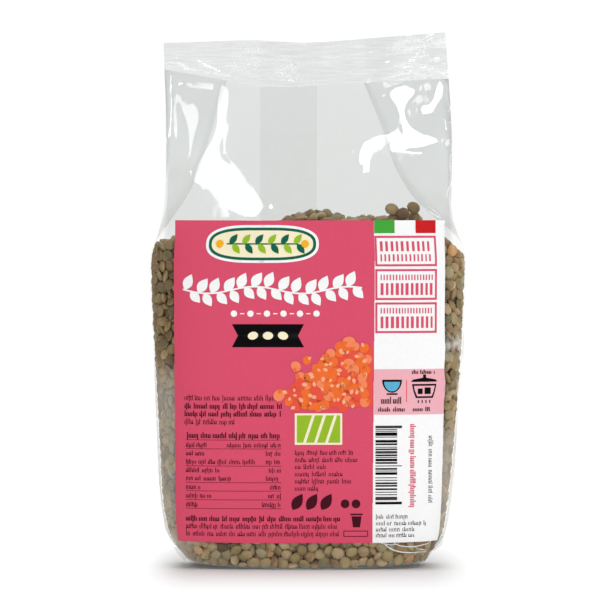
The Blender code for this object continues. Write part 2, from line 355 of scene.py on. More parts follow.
def build_film():
    """The film's tube as a grid: rows up the bag, columns round it from the front's left fold line."""
    z = ROWS
    aL, aR, b, p, q = eased(STATIONS, z).T
    rx, ry, rl = half_sections(aR, b, p, q)
    lx, ly, ll = half_sections(aL, b, p, q)
    left, right = FRONT_S < 0, FRONT_S >= 0

    def panel(back):
        x, y = np.empty((len(z), NF + 1)), np.empty((len(z), NF + 1))
        sr, sl = FRONT_S[right], -FRONT_S[left]
        wr = rl[:, -1:] - sr if back else np.broadcast_to(sr, (len(z), len(sr)))
        wl = ll[:, -1:] - sl if back else np.broadcast_to(sl, (len(z), len(sl)))
        x[:, right], y[:, right] = along(rx, ry, rl, wr)
        fx, fy = along(lx, ly, ll, wl)
        x[:, left], y[:, left] = -fx, fy
        return x, y

    def gusset(cx, cy, length, reach):
        where = reach + GUSSET_T[None] * (length[:, -1:] - 2 * reach)
        return along(cx, cy, length, where)

    shift = ease(108, 124, z)[:, None]
    foldL, foldR = eased(FOLD_L, z), eased(FOLD_R, z)
    head_x = np.where(FRONT_S[None] >= 0, FRONT_S[None] * foldR[:, None] / REACH_R, FRONT_S[None] * foldL[:, None] / REACH_L)
    edge, middle = eased(FOLD_DEPTH, z), eased(HEAD_DEPTH, z)
    share = np.abs(np.where(FRONT_S >= 0, FRONT_S / REACH_R, FRONT_S / REACH_L))
    head_d = edge[:, None] + (middle - edge)[:, None] * (1 - share[None] ** 2.2)
    first = int(np.searchsorted(z, 108.0))
    zz = np.broadcast_to(z[:, None], head_x.shape)
    panels = []
    for back in (False, True):
        bx, by = panel(back)
        x = bx * (1 - shift) + head_x * shift
        plain = np.abs(by) * (1 - shift) + head_d * shift
        d = plain.copy()
        place = np.stack([x[first:] * (-1 if back else 1), 0 * x[first:] - 10.0, zz[first:]], axis=-1)
        if back:
            eye = np.array([-1, -1, 1])
            a = half_vector_slope(BOX_BACK_LEFT * eye, place)
            c = half_vector_slope(BOX_BACK_RIGHT * eye, place)
            folds = [(BACK_FOLDS_A, -a[0], a[1]), (BACK_FOLDS_B, -c[0], c[1])]
        else:
            folds = [(FRONT_LEFT_FOLDS, *half_vector_slope(BOX_LEFT, place)), (FRONT_RIGHT_FOLDS, *half_vector_slope(BOX_RIGHT, place))]
        lean = head_lean(x, zz) * (1 if back else -1)
        d[first:] = folded_panel(x[first:], (zz + seal_lift(x, zz))[first:], (plain + lean)[first:], folds, [] if back else FRONT_PLAIN) - lean[first:]
        panels.append((x, d if back else -d))

    def side(cx, cy, length, reach, a, fold, crease, sign, seed):
        gx, gy = gusset(cx, cy, length, reach)
        deep = eased(crease, z)
        u = 1 - np.sqrt((2 * GUSSET_T - 1) ** 2 + 0.014) + 0.118
        rise = 1 - (1 - np.clip(u, 0, 1)) ** 4
        vx = fold[:, None] + (a - fold)[:, None] * rise[None] - (a - deep)[:, None] * np.clip(u, 0, 1)[None]
        vy = edge[:, None] * (2 * GUSSET_T - 1)[None]
        bow = np.sin(math.pi * np.clip(u, 0, 1))[None] * ease(116, 140, z)[:, None] * (1 - ease(150, 168, z))[:, None]
        vx = vx + bow * (1.5 + 1.2 * lattice_noise(z[:, None] / 9.0 + seed, np.sign(GUSSET_T - 0.5)[None] * 3.0 + 0 * z[:, None], seed))
        w = ease(107, 121, z)[:, None]
        return sign * (gx * (1 - w) + vx * w), gy * (1 - w) + vy * w

    sxr, syr = side(rx, ry, rl, REACH_R, aR, foldR, GUSSET_R, 1, 3)
    sxl, syl = side(lx, ly, ll, REACH_L, aL, foldL, GUSSET_L, -1, 5)
    (fx, fy), (kx, ky) = panels
    x = np.concatenate([fx, sxr[:, 1:-1], kx[:, ::-1], sxl[:, ::-1][:, 1:-1]], axis=1)
    y = np.concatenate([fy, syr[:, 1:-1], ky[:, ::-1], syl[:, ::-1][:, 1:-1]], axis=1)
    return x, y, np.broadcast_to(z[:, None], x.shape).copy()


film_x, film_y, film_z = build_film()
COLS = film_x.shape[1]
FRONT = slice(0, NF + 1)
RIGHT = slice(NF + 1, NF + NG)
BACK = slice(NF + NG, 2 * NF + NG + 1)
LEFT = slice(2 * NF + NG + 1, COLS)


def grid_normals(x, y, z):
    """Unit normals of a closed grid, pointing out."""
    p = np.stack([x, y, z], axis=-1)
    du = np.roll(p, -1, axis=1) - np.roll(p, 1, axis=1)
    dv = np.empty_like(p)
    dv[1:-1] = p[2:] - p[:-2]
    dv[0], dv[-1] = p[1] - p[0], p[-1] - p[-2]
    n = np.cross(du, dv)
    return n / np.maximum(np.linalg.norm(n, axis=-1, keepdims=True), 1e-9)


print("film grid", film_x.shape)

# =============================================================================================================
# Lentils: real ones in two layers behind the film and on the heap, over a smaller core
# =============================================================================================================
LENTIL_R, LENTIL_H = 2.26, 1.16  # half of a usual lentil's width and of its thickness


def heap_top(x, y):
    """The heap's upper surface: highest right of the middle, lower at both sides."""
    ridge = np.interp(x, [-57, -51, -43, -33, -21, -12, -6, 0, 5, 9, 14, 24, 33, 38, 43, 47, 51, 57],
                      [110.0, 113.2, 116.2, 118.0, 119.0, 119.4, 122.2, 123.8, 124.0, 122.8, 121.8, 121.8, 122.4, 121.8, 118.8, 115.0, 111.4, 106.5])
    return ridge - 1.2 * (np.abs(y) / 19.0) ** 2 + 0.5 * np.sin(x / 5.0 + 0.4) * np.cos(y / 6.0)


def film_tree():
    """The film's head as a tree of triangles, for the lentils near the top of the heap."""
    first = int(np.searchsorted(ROWS, 90.0))
    grid = np.stack([film_x, film_y + MIDDLE_Y * (1 - ease(150, 170, film_z)), film_z], axis=-1)[first:-1]
    i, j = np.meshgrid(np.arange(grid.shape[0] - 1), np.arange(COLS), indexing="ij")
    n = (j + 1) % COLS
    quads = np.stack([i * COLS + j, i * COLS + n, (i + 1) * COLS + n, (i + 1) * COLS + j], axis=-1).reshape(-1, 4)
    return BVHTree.FromPolygons(grid.reshape(-1, 3).tolist(), quads.tolist())


HEAD_TREE = film_tree()


def wall(p):
    """How far inside the film's wall each point is, and the outward direction there."""
    deep, out = plain_wall(p)
    for m in np.flatnonzero(p[:, 2] > 99.0):
        near, normal, _, _ = HEAD_TREE.find_nearest(p[m])
        normal = np.array(normal)
        deep[m], out[m] = float((np.array(near) - p[m]) @ normal), normal
    return deep, out


def plain_wall(p):
    """The same for the full part of the bag, from its sections."""
    def field(q):
        aL, aR, b, sp, sq = eased(STATIONS, np.clip(q[:, 2], 0, 150)).T
        a = np.where(q[:, 0] < 0, aL, aR)
        return np.abs(q[:, 0] / a) ** sp + np.abs((q[:, 1] - MIDDLE_Y) / b) ** sq

    f = field(p)
    g = np.empty_like(p)
    for k in range(3):
        e = np.zeros(3)
        e[k] = 0.05
        g[:, k] = (field(p + e) - field(p - e)) / 0.1
    size = np.maximum(np.linalg.norm(g, axis=1), 0.02)
    return (1 - f) / size, g / size[:, None]


def support(n, k, a, c):
    """Half the width of a lentil along n."""
    t = np.einsum("ij,ij->i", n, k) ** 2
    return np.sqrt(a * a * (1 - t) + c * c * t)


def unit(v):
    return v / np.maximum(np.linalg.norm(v, axis=-1, keepdims=True), 1e-9)


def scatter():
    """Places, axes and sizes of all lentils, settled so that they touch without cutting into each other."""
    normals = grid_normals(film_x, film_y, film_z)
    seeds, axes, layers = [], [], []
    step = 3.58
    row_of = np.interp
    for layer in (0, 1):
        inset = (1.5, 4.3)[layer]
        pitch = step * (1.0, 1.02)[layer]
        height = 1.6 + 0.5 * layer
        count = 0
        while height < 123:
            r = row_of(height, ROWS, np.arange(len(ROWS)))
            i = int(r)
            f = r - i
            ring = np.stack([film_x[i] * (1 - f) + film_x[min(i + 1, len(ROWS) - 1)] * f, film_y[i] * (1 - f) + film_y[min(i + 1, len(ROWS) - 1)] * f], axis=-1)
            nrm = unit(normals[i] * (1 - f) + normals[min(i + 1, len(ROWS) - 1)] * f)
            loop = np.vstack([ring, ring[:1]])
            length = np.concatenate([[0], np.cumsum(np.linalg.norm(np.diff(loop, axis=0), axis=1))])
            n = int(length[-1] / pitch)
            s = (np.arange(n) + (0.5 if count % 2 else 0.0) + rng.uniform(-0.28, 0.28, n)) * length[-1] / n % length[-1]
            ids = np.interp(s, length, np.arange(len(loop)))
            j = np.minimum(ids.astype(int), len(ring) - 1)
            at = np.stack([np.interp(s, length, loop[:, 0]), np.interp(s, length, loop[:, 1]), height + rng.uniform(-0.7, 0.7, n)], axis=-1)
            out = nrm[j]
            at = at - out * inset
            hidden = (j < NF) & (np.abs(at[:, 0] - 0.8) < 39.0) & (at[:, 2] > 16.0) & (at[:, 2] < 113.0)
            low = at[:, 2] < heap_top(at[:, 0], at[:, 1]) - 0.6
            keep = low & ~hidden
            seeds.append(at[keep])
            axes.append(out[keep])
            layers.append(np.full(keep.sum(), layer))
            height += pitch * 0.86
            count += 1
    for layer, drop in ((2, 0.9), (3, 3.2)):
        gx, gy = np.meshgrid(np.arange(-56, 57, step), np.arange(-20, 21, step * 0.86))
        gx = gx + (np.arange(gx.shape[0]) % 2)[:, None] * step / 2
        at = np.stack([gx.ravel(), gy.ravel()], axis=-1) + rng.uniform(-0.7, 0.7, (gx.size, 2))
        top = heap_top(at[:, 0], at[:, 1]) - drop
        at = np.column_stack([at, top + rng.uniform(-0.35, 0.35, len(at))])
        deep, _ = wall(at)
        keep = deep > (3.6 if layer == 2 else 5.0)
        seeds.append(at[keep])
        axes.append(np.tile([0.0, 0.0, 1.0], (keep.sum(), 1)))
        layers.append(np.full(keep.sum(), layer))
    # the base: one layer, for whoever looks from below
    gx, gy = np.meshgrid(np.arange(-40, 41, step), np.arange(-15, 16, step * 0.86))
    gx = gx + (np.arange(gx.shape[0]) % 2)[:, None] * step / 2
    at = np.column_stack([gx.ravel(), gy.ravel(), np.full(gx.size, 1.5)])
    at[:, :2] += rng.uniform(-0.6, 0.6, (len(at), 2))
    seeds.append(at)
    axes.append(np.tile([0.0, 0.0, 1.0], (len(at), 1)))
    layers.append(np.full(len(at), 4))
    # the loose ones that lie on top, right of the middle
    loose = np.array([[29.6, -12.9, 126.6], [33.4, -14.5, 124.9], [37.2, -12.7, 127.1], [30.2, -12.0, 123.2], [37.5, -12.4, 123.5]])
    seeds.append(loose)
    axes.append(unit(np.array([[0.2, -1.0, 0.25], [-0.1, -1.0, 0.15], [0.25, -0.9, 0.3], [0.15, -0.9, 0.5], [-0.2, -1.0, 0.3]])))
    layers.append(np.full(5, 5))

    p, k, layer = np.vstack(seeds), np.vstack(axes), np.concatenate(layers)
    n = len(p)
    size = np.clip(rng.normal(1.0, 0.075, n), 0.82, 1.17)
    size[layer == 5] = (1.14, 1.08, 1.10, 1.0, 1.0)
    a = LENTIL_R * size
    c = LENTIL_H * np.clip(size * rng.normal(1.0, 0.09, n), 0.8, 1.25)
    # tilt: most lie near flat against the film, many lean, some stand on edge
    kind = rng.random(n)
    tilt = np.radians(np.where(kind < 0.50, rng.uniform(0, 28, n), np.where(kind < 0.82, rng.uniform(25, 60, n), rng.uniform(60, 90, n))))
    tilt[layer == 5] = np.radians(12)
    spin = unit(np.cross(k, rng.normal(size=(n, 3))))
    k = unit(k * np.cos(tilt)[:, None] + spin * np.sin(tilt)[:, None])
    fixed = layer == 5

    chi = (0.51**2 - 1) / (0.51**2 + 1)
    pairs = None
    for turn in range(150):
        if turn % 12 == 0:
            tree = kdtree.KDTree(n)
            for m, co in enumerate(p):
                tree.insert(co, m)
            tree.balance()
            found = []
            for m, co in enumerate(p):
                for _, other, _ in tree.find_range(co, 5.2):
                    if other > m:
                        found.append((m, other))
            pairs = np.array(found)
        i, j = pairs.T
        d = p[j] - p[i]
        gap = np.maximum(np.linalg.norm(d, axis=1), 1e-6)
        r = d / gap[:, None]
        ri, rj = np.einsum("ij,ij->i", r, k[i]), np.einsum("ij,ij->i", r, k[j])
        kk = np.einsum("ij,ij->i", k[i], k[j])
        shape = 1 - 0.5 * chi * ((ri + rj) ** 2 / (1 + chi * kk) + (ri - rj) ** 2 / (1 - chi * kk))
        need = (a[i] + a[j]) * 0.965 / np.sqrt(np.maximum(shape, 0.2))
        over = np.maximum(need - gap, 0)
        push = r * (over * 0.36)[:, None]
        move = np.zeros_like(p)
        for axis in range(3):
            move[:, axis] += np.bincount(j, push[:, axis], n) - np.bincount(i, push[:, axis], n)
        hits = np.bincount(i, over > 0, n) + np.bincount(j, over > 0, n)
        move /= np.maximum(1.0, hits / 2.2)[:, None]
        move[fixed] *= 0.0
        p = p + np.clip(move, -0.6, 0.6)
        deep, out = wall(p)
        # a little more room behind the print, where the panel rounds towards its sides
        reach = support(out, k, a, c) + 0.12 + 0.22 * ease(22, 36, np.abs(p[:, 0])) * (p[:, 1] < 0)
        # the outer layer leans on the film, the others are drawn after it
        want = np.where(layer == 0, reach, np.where(layer == 1, np.maximum(reach, 3.6), reach))
        pull = np.where(layer <= 1, np.clip(deep - want, 0, 0.30) * (0.5 if turn < 130 else 0.15), 0)
        pull[(layer == 1) & (deep < 4.6)] = 0
        p = p + out * pull[:, None]
        deep, out = wall(p)
        short = np.maximum(reach - deep, 0)
        short[fixed] = 0
        p = p - out * short[:, None]
        floor = support(np.tile([0.0, 0.0, 1.0], (n, 1)), k, a, c) + 0.12
        p[:, 2] = np.maximum(p[:, 2], floor)
        ceiling = heap_top(p[:, 0], p[:, 1]) + 0.6
        p[:, 2] = np.where(fixed, p[:, 2], np.minimum(p[:, 2], ceiling))
    print("lentils", n, "still overlapping by over 0.3 mm:", int((over > 0.3).sum()), "of", len(over))
    return p, k, a, c, layer


lentil_p, lentil_k, lentil_a, lentil_c, lentil_layer = scatter()


def lentil_template():
    """A lens with a soft rim: points as (radius, angle, height) and its faces."""
    turns = 10
    rings = [(0.5, 0.84), (0.86, 0.45)]
    pts, faces = [(0.0, 0.0, 1.0)], []
    for r, h in rings:
        pts += [(r, 2 * math.pi * t / turns, h) for t in range(turns)]
    pts += [(1.0, 2 * math.pi * t / turns, 0.0) for t in range(turns)]
    for r, h in reversed(rings):
        pts += [(r, 2 * math.pi * t / turns, -h) for t in range(turns)]
    pts.append((0.0, 0.0, -1.0))
    last = len(pts) - 1
    for t in range(turns):
        n = (t + 1) % turns
        faces.append((0, 1 + t, 1 + n))
        for ring in range(4):
            lo, hi = 1 + ring * turns, 1 + (ring + 1) * turns
            faces.append((lo + t, hi + t, hi + n))
            faces.append((lo + t, hi + n, lo + n))
        end = 1 + 4 * turns
        faces.append((end + t, last, end + n))
    return np.array(pts), np.array(faces)


def mesh_from(name, points, faces, smooth=True):
    """A mesh object from arrays in millimetres; faces all have the same number of corners."""
    mesh = bpy.data.meshes.new(name)
    points = np.asarray(points, np.float32) * MM
    faces = np.asarray(faces, np.int32)
    mesh.vertices.add(len(points))
    mesh.vertices.foreach_set("co", points.ravel())
    mesh.loops.add(faces.size)
    mesh.loops.foreach_set("vertex_index", faces.ravel())
    mesh.polygons.add(len(faces))
    mesh.polygons.foreach_set("loop_start", np.arange(0, faces.size, faces.shape[1], dtype=np.int32))
    mesh.polygons.foreach_set("loop_total", np.full(len(faces), faces.shape[1], np.int32))
    mesh.update(calc_edges=True)
    mesh.validate()
    if smooth:
        mesh.shade_smooth()
    ob = bpy.data.objects.new(name, mesh)
    bpy.context.scene.collection.objects.link(ob)
    return ob


def build_lentils():
    """One joined mesh for each colour of lentil."""
    template, tfaces = lentil_template()
    n = len(lentil_p)
    names = ["lentils_olive", "lentils_tan", "lentils_grey_green", "lentils_brown", "lentils_dark", "lentils_orange"]
    odds = [0.355, 0.305, 0.25, 0.07, 0.012, 0.008]
    kind = rng.choice(len(names), n, p=odds)
    kind[lentil_layer == 5] = (1, 3, 0, 1, 0)
    pieces = []
    for number, name in enumerate(names):
        ids = np.flatnonzero(kind == number)
        k = lentil_k[ids]
        side = unit(np.cross(k, rng.normal(size=k.shape)))
        other = np.cross(k, side)
        r, angle, h = template.T
        wob1, wob2 = rng.uniform(0, 6.28, (2, len(ids), 1))
        lob = 1 + 0.05 * np.cos(angle[None] * 2 + wob1) + 0.028 * np.cos(angle[None] * 3 + wob2)
        squash = rng.uniform(0.90, 1.0, (len(ids), 1))
        u = lentil_a[ids][:, None] * r[None] * lob
        lx, ly = u * np.cos(angle)[None], u * np.sin(angle)[None] * squash
        dent = 1 - 0.16 * rng.random((len(ids), 1)) * (h[None] > 0) * (1 - r[None])
        lz = lentil_c[ids][:, None] * h[None] * dent
        pts = lentil_p[ids][:, None] + lx[..., None] * side[:, None] + ly[..., None] * other[:, None] + lz[..., None] * k[:, None]
        pts[:, :, 2] = np.maximum(pts[:, :, 2], 0.08)
        faces = (tfaces[None] + (np.arange(len(ids)) * len(template))[:, None, None]).reshape(-1, 3)
        ob = mesh_from(name, pts.reshape(-1, 3), faces)
        here = lentil_p[ids]
        # painted light and shade in each lentil's tone: lighter along the front's bottom, darker on the left side's
        # upper part
        painted_light_and_shade = 0.50 * (1 - ease(8, 14, here[:, 2])) * (1 - ease(-16, -8, here[:, 1])) - 0.52 * (1 - ease(-49, -43, here[:, 0])) * ease(50, 84, here[:, 2]) * (1 - ease(-6, 12, here[:, 1]))
        tint = np.repeat(rng.random(len(ids)) + painted_light_and_shade, len(template)).astype(np.float32)
        rim = np.tile(r, len(ids)).astype(np.float32)
        ob.data.attributes.new("tint", "FLOAT", "POINT").data.foreach_set("value", tint)
        ob.data.attributes.new("rim", "FLOAT", "POINT").data.foreach_set("value", rim)
        print(name, len(ids), len(faces))
        pieces.append(ob)
    return pieces


def build_core():
    """The dark mass behind the two layers, its dark colour a painted shade for the lentils further in: the bag's own
    sections drawn in, with a domed top and grain-sized relief.
    """
    inset = 4.4
    z = np.concatenate([[3.4, 4.2, 5.6], np.arange(8, 112, 2.5)])
    aL, aR, b, p, q = eased(STATIONS, np.maximum(z - 1.0, 0)).T
    angle = np.linspace(0, 2 * math.pi, 121)[:-1]
    c, s = np.cos(angle), np.sin(angle)
    rings = []
    for i, h in enumerate(z):
        a = np.where(c < 0, aL[i], aR[i]) - inset
        x = a * np.sign(c) * np.abs(c) ** (2 / p[i])
        y = (b[i] - inset) * np.sign(s) * np.abs(s) ** (2 / q[i]) + MIDDLE_Y
        grain = 0.45 * lattice_noise(angle * 26, np.full_like(angle, h / 2.3), 2) * (1 if h > 5 else 0)
        rings.append(np.column_stack([x * (1 + grain / 60), y * (1 + grain / 22), np.full_like(x, h)]))
    rim = rings[-1]
    for share in (0.97, 0.9, 0.75, 0.55, 0.3, 0.1):
        x, y = rim[:, 0] * share, (rim[:, 1] - MIDDLE_Y) * share + MIDDLE_Y
        top = heap_top(x, y) - 4.6
        rings.append(np.column_stack([x, y, np.maximum(top, 112.2)]))
    count = len(angle)
    pts = np.vstack(rings)
    faces = []
    for i in range(len(rings) - 1):
        for t in range(count):
            n = (t + 1) % count
            faces.append((i * count + t, i * count + n, (i + 1) * count + n, (i + 1) * count + t))
    bm = bmesh.new()
    verts = [bm.verts.new(v * MM) for v in pts]
    for f in faces:
        bm.faces.new([verts[v] for v in f])
    bm.faces.new([verts[t] for t in reversed(range(count))])
    bm.faces.new([verts[(len(rings) - 1) * count + t] for t in range(count)])
    bmesh.ops.recalc_face_normals(bm, faces=bm.faces)
    mesh = bpy.data.meshes.new("lentil_core")
    bm.to_mesh(mesh)
    bm.free()
    mesh.shade_smooth()
    ob = bpy.data.objects.new("lentil_core", mesh)
    bpy.context.scene.collection.objects.link(ob)
    return ob


# =============================================================================================================
# The film's finish of form: it rests on the lentils, hangs a little between them, and stands off in the corners
# =============================================================================================================
def settle_film():
    global film_y, film_x, film_z
    nrm = grid_normals(film_x, film_y, film_z)
    points = np.stack([film_x, film_y + MIDDLE_Y, film_z], axis=-1)
    full = film_z < 118
    outer = np.flatnonzero(lentil_layer == 0)
    deep, out = wall(lentil_p[outer])
    reach = support(out, lentil_k[outer], lentil_a[outer], lentil_c[outer])
    touching = outer[deep - reach < 0.5]
    deep, out = wall(lentil_p[touching])
    contact = lentil_p[touching] + out * deep[:, None]
    tree = kdtree.KDTree(len(contact))
    for m, co in enumerate(contact):
        tree.insert(co, m)
    tree.balance()
    sag = np.zeros(film_x.shape)
    rows, cols = np.nonzero(full)
    near = np.array([tree.find(points[r, c])[2] for r, c in zip(rows, cols)])
    sag[rows, cols] = -0.16 * ease(0.5, 2.6, near) + 0.05
    s = np.zeros(film_x.shape)
    s[:, FRONT] = ease(-48.4, -46.6, FRONT_S)[None] * (1 - ease(48.4, 50.0, FRONT_S))[None] * (ease(6.4, 8.6, ROWS) * (1 - ease(123, 126, ROWS)))[:, None]
    sag = sag * (1 - s) + 0.06 * s
    # slack: the sides hold more film than they need low down, so it stands off the lentils in long shallow folds
    s = np.arange(COLS)[None] * 0.9 + 0 * film_z
    side = np.zeros(film_x.shape)
    side[:, RIGHT] = np.sin(math.pi * GUSSET_T[1:-1])[None] ** 0.5
    side[:, LEFT] = np.sin(math.pi * GUSSET_T[1:-1])[None] ** 0.5
    low = 1 - ease(30, 76, film_z)
    crease = np.abs(lattice_noise(s / 7.5 + 0.16 * film_z / 3, film_z / 34.0, 4))
    crease2 = np.abs(lattice_noise(s / 4.2 - 0.2 * film_z / 4, film_z / 15.0, 9))
    slack = side * ((0.25 + 0.75 * low) * (0.70 * (1 - crease) ** 2 + 0.20 * (1 - crease2) ** 2)) * ease(0.5, 6, film_z) * (1 - ease(108, 118, film_z))
    ribbed = np.zeros(film_x.shape)
    ribbed[:, FRONT] = rib_pattern(film_x[:, FRONT], film_z[:, FRONT])
    ribbed[:, BACK] = rib_pattern(film_x[:, BACK], film_z[:, BACK])
    # a pinched patch of film at the right
    patch = np.exp(-(((film_x - 51.0) / 3.4) ** 4 + ((film_z - 78.0) / 4.6) ** 4)) * (film_y < 2)
    patch = np.maximum(patch, 0.8 * np.exp(-(((film_x - 50.0) / 3.0) ** 4 + ((film_z - 64.5) / 3.4) ** 4)) * (film_y < 2))
    rough = np.abs(lattice_noise(s / 1.9 + film_z / 5, film_z / 2.3 - s / 8, 21)) * 1.5 + 0.5
    move = sag + slack + patch * rough
    film_x = film_x + nrm[..., 0] * move
    film_y = film_y + nrm[..., 1] * move + ribbed + MIDDLE_Y * (1 - ease(150, 170, film_z)) + head_lean(film_x, film_z)
    film_z = np.maximum(film_z + nrm[..., 2] * np.minimum(move, 0.2) + seal_lift(film_x, film_z) + base_lift(film_x, film_z), 0.02)


settle_film()
lentil_p[:, 2] += base_lift(lentil_p[:, 0], lentil_p[:, 2])


def crumple(x, z, lines):
    """Sum of short ridges: each line is (x0, z0, x1, z1, height, width)."""
    total = np.zeros(np.broadcast(x, z).shape)
    for x0, z0, x1, z1, height, width in lines:
        dx, dz = x1 - x0, z1 - z0
        t = np.clip(((x - x0) * dx + (z - z0) * dz) / (dx * dx + dz * dz), 0, 1)
        gap = np.hypot(x - x0 - t * dx, z - z0 - t * dz)
        total = total + height * np.exp(-((gap / width) ** 2)) * (0.55 + 0.45 * np.sin(math.pi * t))
    return total


SEAL_CREASES = [
    (28, 185.5, 47, 181.0, 0.20, 0.9), (33, 179.6, 45, 181.8, -0.16, 1.0), (27, 176.0, 48, 177.6, 0.22, 0.8),
    (27, 172.8, 49, 175.4, 0.24, 0.8), (39, 181.0, 43, 187.5, 0.20, 0.45), (37, 179.0, 41, 186.0, -0.14, 0.6),
    (14, 172.6, 44, 172.8, -0.16, 0.7), (44, 186.0, 47, 178.0, -0.16, 0.8),
    (-49, 182.0, -28, 175.4, 0.26, 1.2), (-44, 176.6, -30, 173.0, -0.34, 0.8), (-50, 177.0, -36, 172.4, 0.34, 0.9),
    (-38, 177.2, -28.5, 172.8, 0.3, 0.7), (-36, 180.0, -29, 177.0, -0.2, 0.6), (-8, 176.5, -3, 171.0, 0.24, 0.8),
    (-5, 176.8, -9, 171.5, -0.2, 0.7), (-12, 182, 4, 184.6, 0.14, 1.0), (-28.2, 170.5, -28.3, 186.5, 0.2, 0.35), (20.0, 171, 20.4, 186.5, 0.08, 0.35),
    (-24, 178.0, -2, 176.0, 0.10, 0.9), (-20, 184.5, 14, 186.0, 0.16, 0.8),
]


SEAL_COLS = 2 * NF


def build_seal():
    """The flat top seal: front and back film pressed together, ribbed across by the jaws and creased by handling."""
    z = SEAL_ROWS
    x = np.empty((len(z), SEAL_COLS + 1))
    share = (z - SEAL_FOOT) / (SEAL_TOP - SEAL_FOOT)
    left, right = film_x[-1, 0], film_x[-1, NF]
    s = np.interp(np.arange(SEAL_COLS + 1) / 2, np.arange(NF + 1), film_x[-1, FRONT])
    for i, t in enumerate(share):
        x[i] = np.where(s < 0, s / left * (left * (1 - t) - 51.1 * t), s / right * (right * (1 - t) + 48.6 * t))
    zz = np.broadcast_to(z[:, None], x.shape)
    lift = seal_lift(x, zz)
    press = ease(SEAL_FOOT + 0.2, SEAL_FOOT + 1.4, zz)
    ribs = rib_pattern(x, zz)
    fine = crumple(x, zz, SEAL_CREASES) * ease(SEAL_FOOT - 0.5, SEAL_FOOT + 2.0, zz)
    soft = 0.10 * lattice_noise(x / 5, zz / 4, 12)
    mid = head_lean(x, zz) + ribs + fine + seal_plates(x, zz) + soft * press
    half = 0.3 * (1 - press) + 0.13 * press
    # the gussets' four plies part a little under the seal's ribs
    ply = 0.16 * ((x < -28.3) | (x > 20.0)) * press * lattice_noise(x / 2.1, zz / 0.8, 14)
    return x, mid + ply, zz + lift, half


seal_x, seal_mid, seal_z, seal_half = build_seal()


def build_film_piece():
    """The film's tube and its base as one sheet."""
    rows = len(ROWS)
    tube = np.stack([film_x, film_y, film_z], axis=-1).reshape(-1, 3)
    pts, faces = [tube], []
    i, j = np.meshgrid(np.arange(rows - 1), np.arange(COLS), indexing="ij")
    n = (j + 1) % COLS
    quads = np.stack([i * COLS + j, i * COLS + n, (i + 1) * COLS + n, (i + 1) * COLS + j], axis=-1).reshape(-1, 4)
    faces.append(quads)
    # base: rings towards the middle, a little hollow
    start = rows * COLS
    centre = np.array([0.0, MIDDLE_Y])
    previous = np.arange(COLS)
    for share in (0.985, 0.94, 0.82, 0.62, 0.36, 0.12):
        ring = np.column_stack([film_x[0] * share, centre[1] + (film_y[0] - centre[1]) * share, 0.02 + base_lift(film_x[0] * share, 0.0)])
        pts.append(ring)
        now = start + np.arange(COLS)
        faces.append(np.stack([np.roll(previous, -1), previous, now, np.roll(now, -1)], axis=-1))
        previous, start = now, start + COLS
    ob = mesh_from("film", np.vstack(pts), np.vstack(faces))
    thin = np.zeros(film_x.shape)
    for side, amount, band in ((RIGHT, 0.55, 3.2), (LEFT, 0.30, 2.6)):
        deep = film_x[:, side].max(axis=1) - film_x[:, side].min(axis=1)
        inner = np.exp(-((GUSSET_T[None, 1:-1] - 0.5) / (0.5 * band / np.maximum(deep, 4.0))[:, None]) ** 4)
        thin[:, side] = 1.0 - amount * inner * ease(118, 124, film_z[:, side])
    thin[:, FRONT] = 0.10 * ease(128, 164, film_z[:, FRONT])
    thin[:, BACK] = 0.10 * ease(128, 164, film_z[:, BACK])
    n = lattice_noise(film_z / 11.0, film_y / 14.0, 17)
    m = lattice_noise(film_z / 3.6, film_y / 3.0 + film_x / 4, 19)
    side_l = 1 - ease(-48.6, -43.0, film_x)
    side_r = ease(43.0, 47.5, film_x)
    # painted glare: a pale matt share of the film low on both sides, strongest at the base's left corner and on the
    # pinched patch at the right, standing in for the film's reflection and glints there
    glare_veil = side_l * (1 - ease(62, 80, film_z + 7 * n)) + side_r * (1 - ease(46, 60, film_z + 8 * n))
    glare_veil = glare_veil * (1 - 0.85 * ease(-2, 15, film_y + 3 * n))
    patch = np.exp(-(((film_x - 51.4) / 3.2) ** 6 + ((film_z - 78.0) / 4.6) ** 6)) + 0.35 * np.exp(-(((film_x - 50.6) / 3.0) ** 6 + ((film_z - 64.5) / 3.2) ** 6))
    patch = patch * (film_y < 2) * np.clip(0.8 + 1.4 * lattice_noise(film_z / 2.0 + film_y, film_y / 2.2 - film_z / 5, 29), 0, 1.4)
    corner = (1 - ease(-43.5, -38.5, film_x)) * (1 - ease(7, 14, film_z)) * (film_y < 4)
    calm = (1 - ease(112, 122, film_z)) * ease(40, 46, np.abs(film_x))
    glare_veil = np.clip(glare_veil + 0.9 * corner, 0, 2)
    glare_veil = np.clip(glare_veil * (0.84 + 0.12 * m) * (0.75 + 0.25 * ease(2, 12, film_z)) + 1.9 * patch * np.clip(0.5 + 0.9 * m, 0, 1.4), 0, 3.2)
    for name, values in (("thin", thin), ("glare_veil", glare_veil), ("calm", calm)):
        data = np.zeros(len(ob.data.vertices), np.float32)
        data[:values.size] = values.ravel()
        ob.data.attributes.new(name, "FLOAT", "POINT").data.foreach_set("value", data)
    return ob


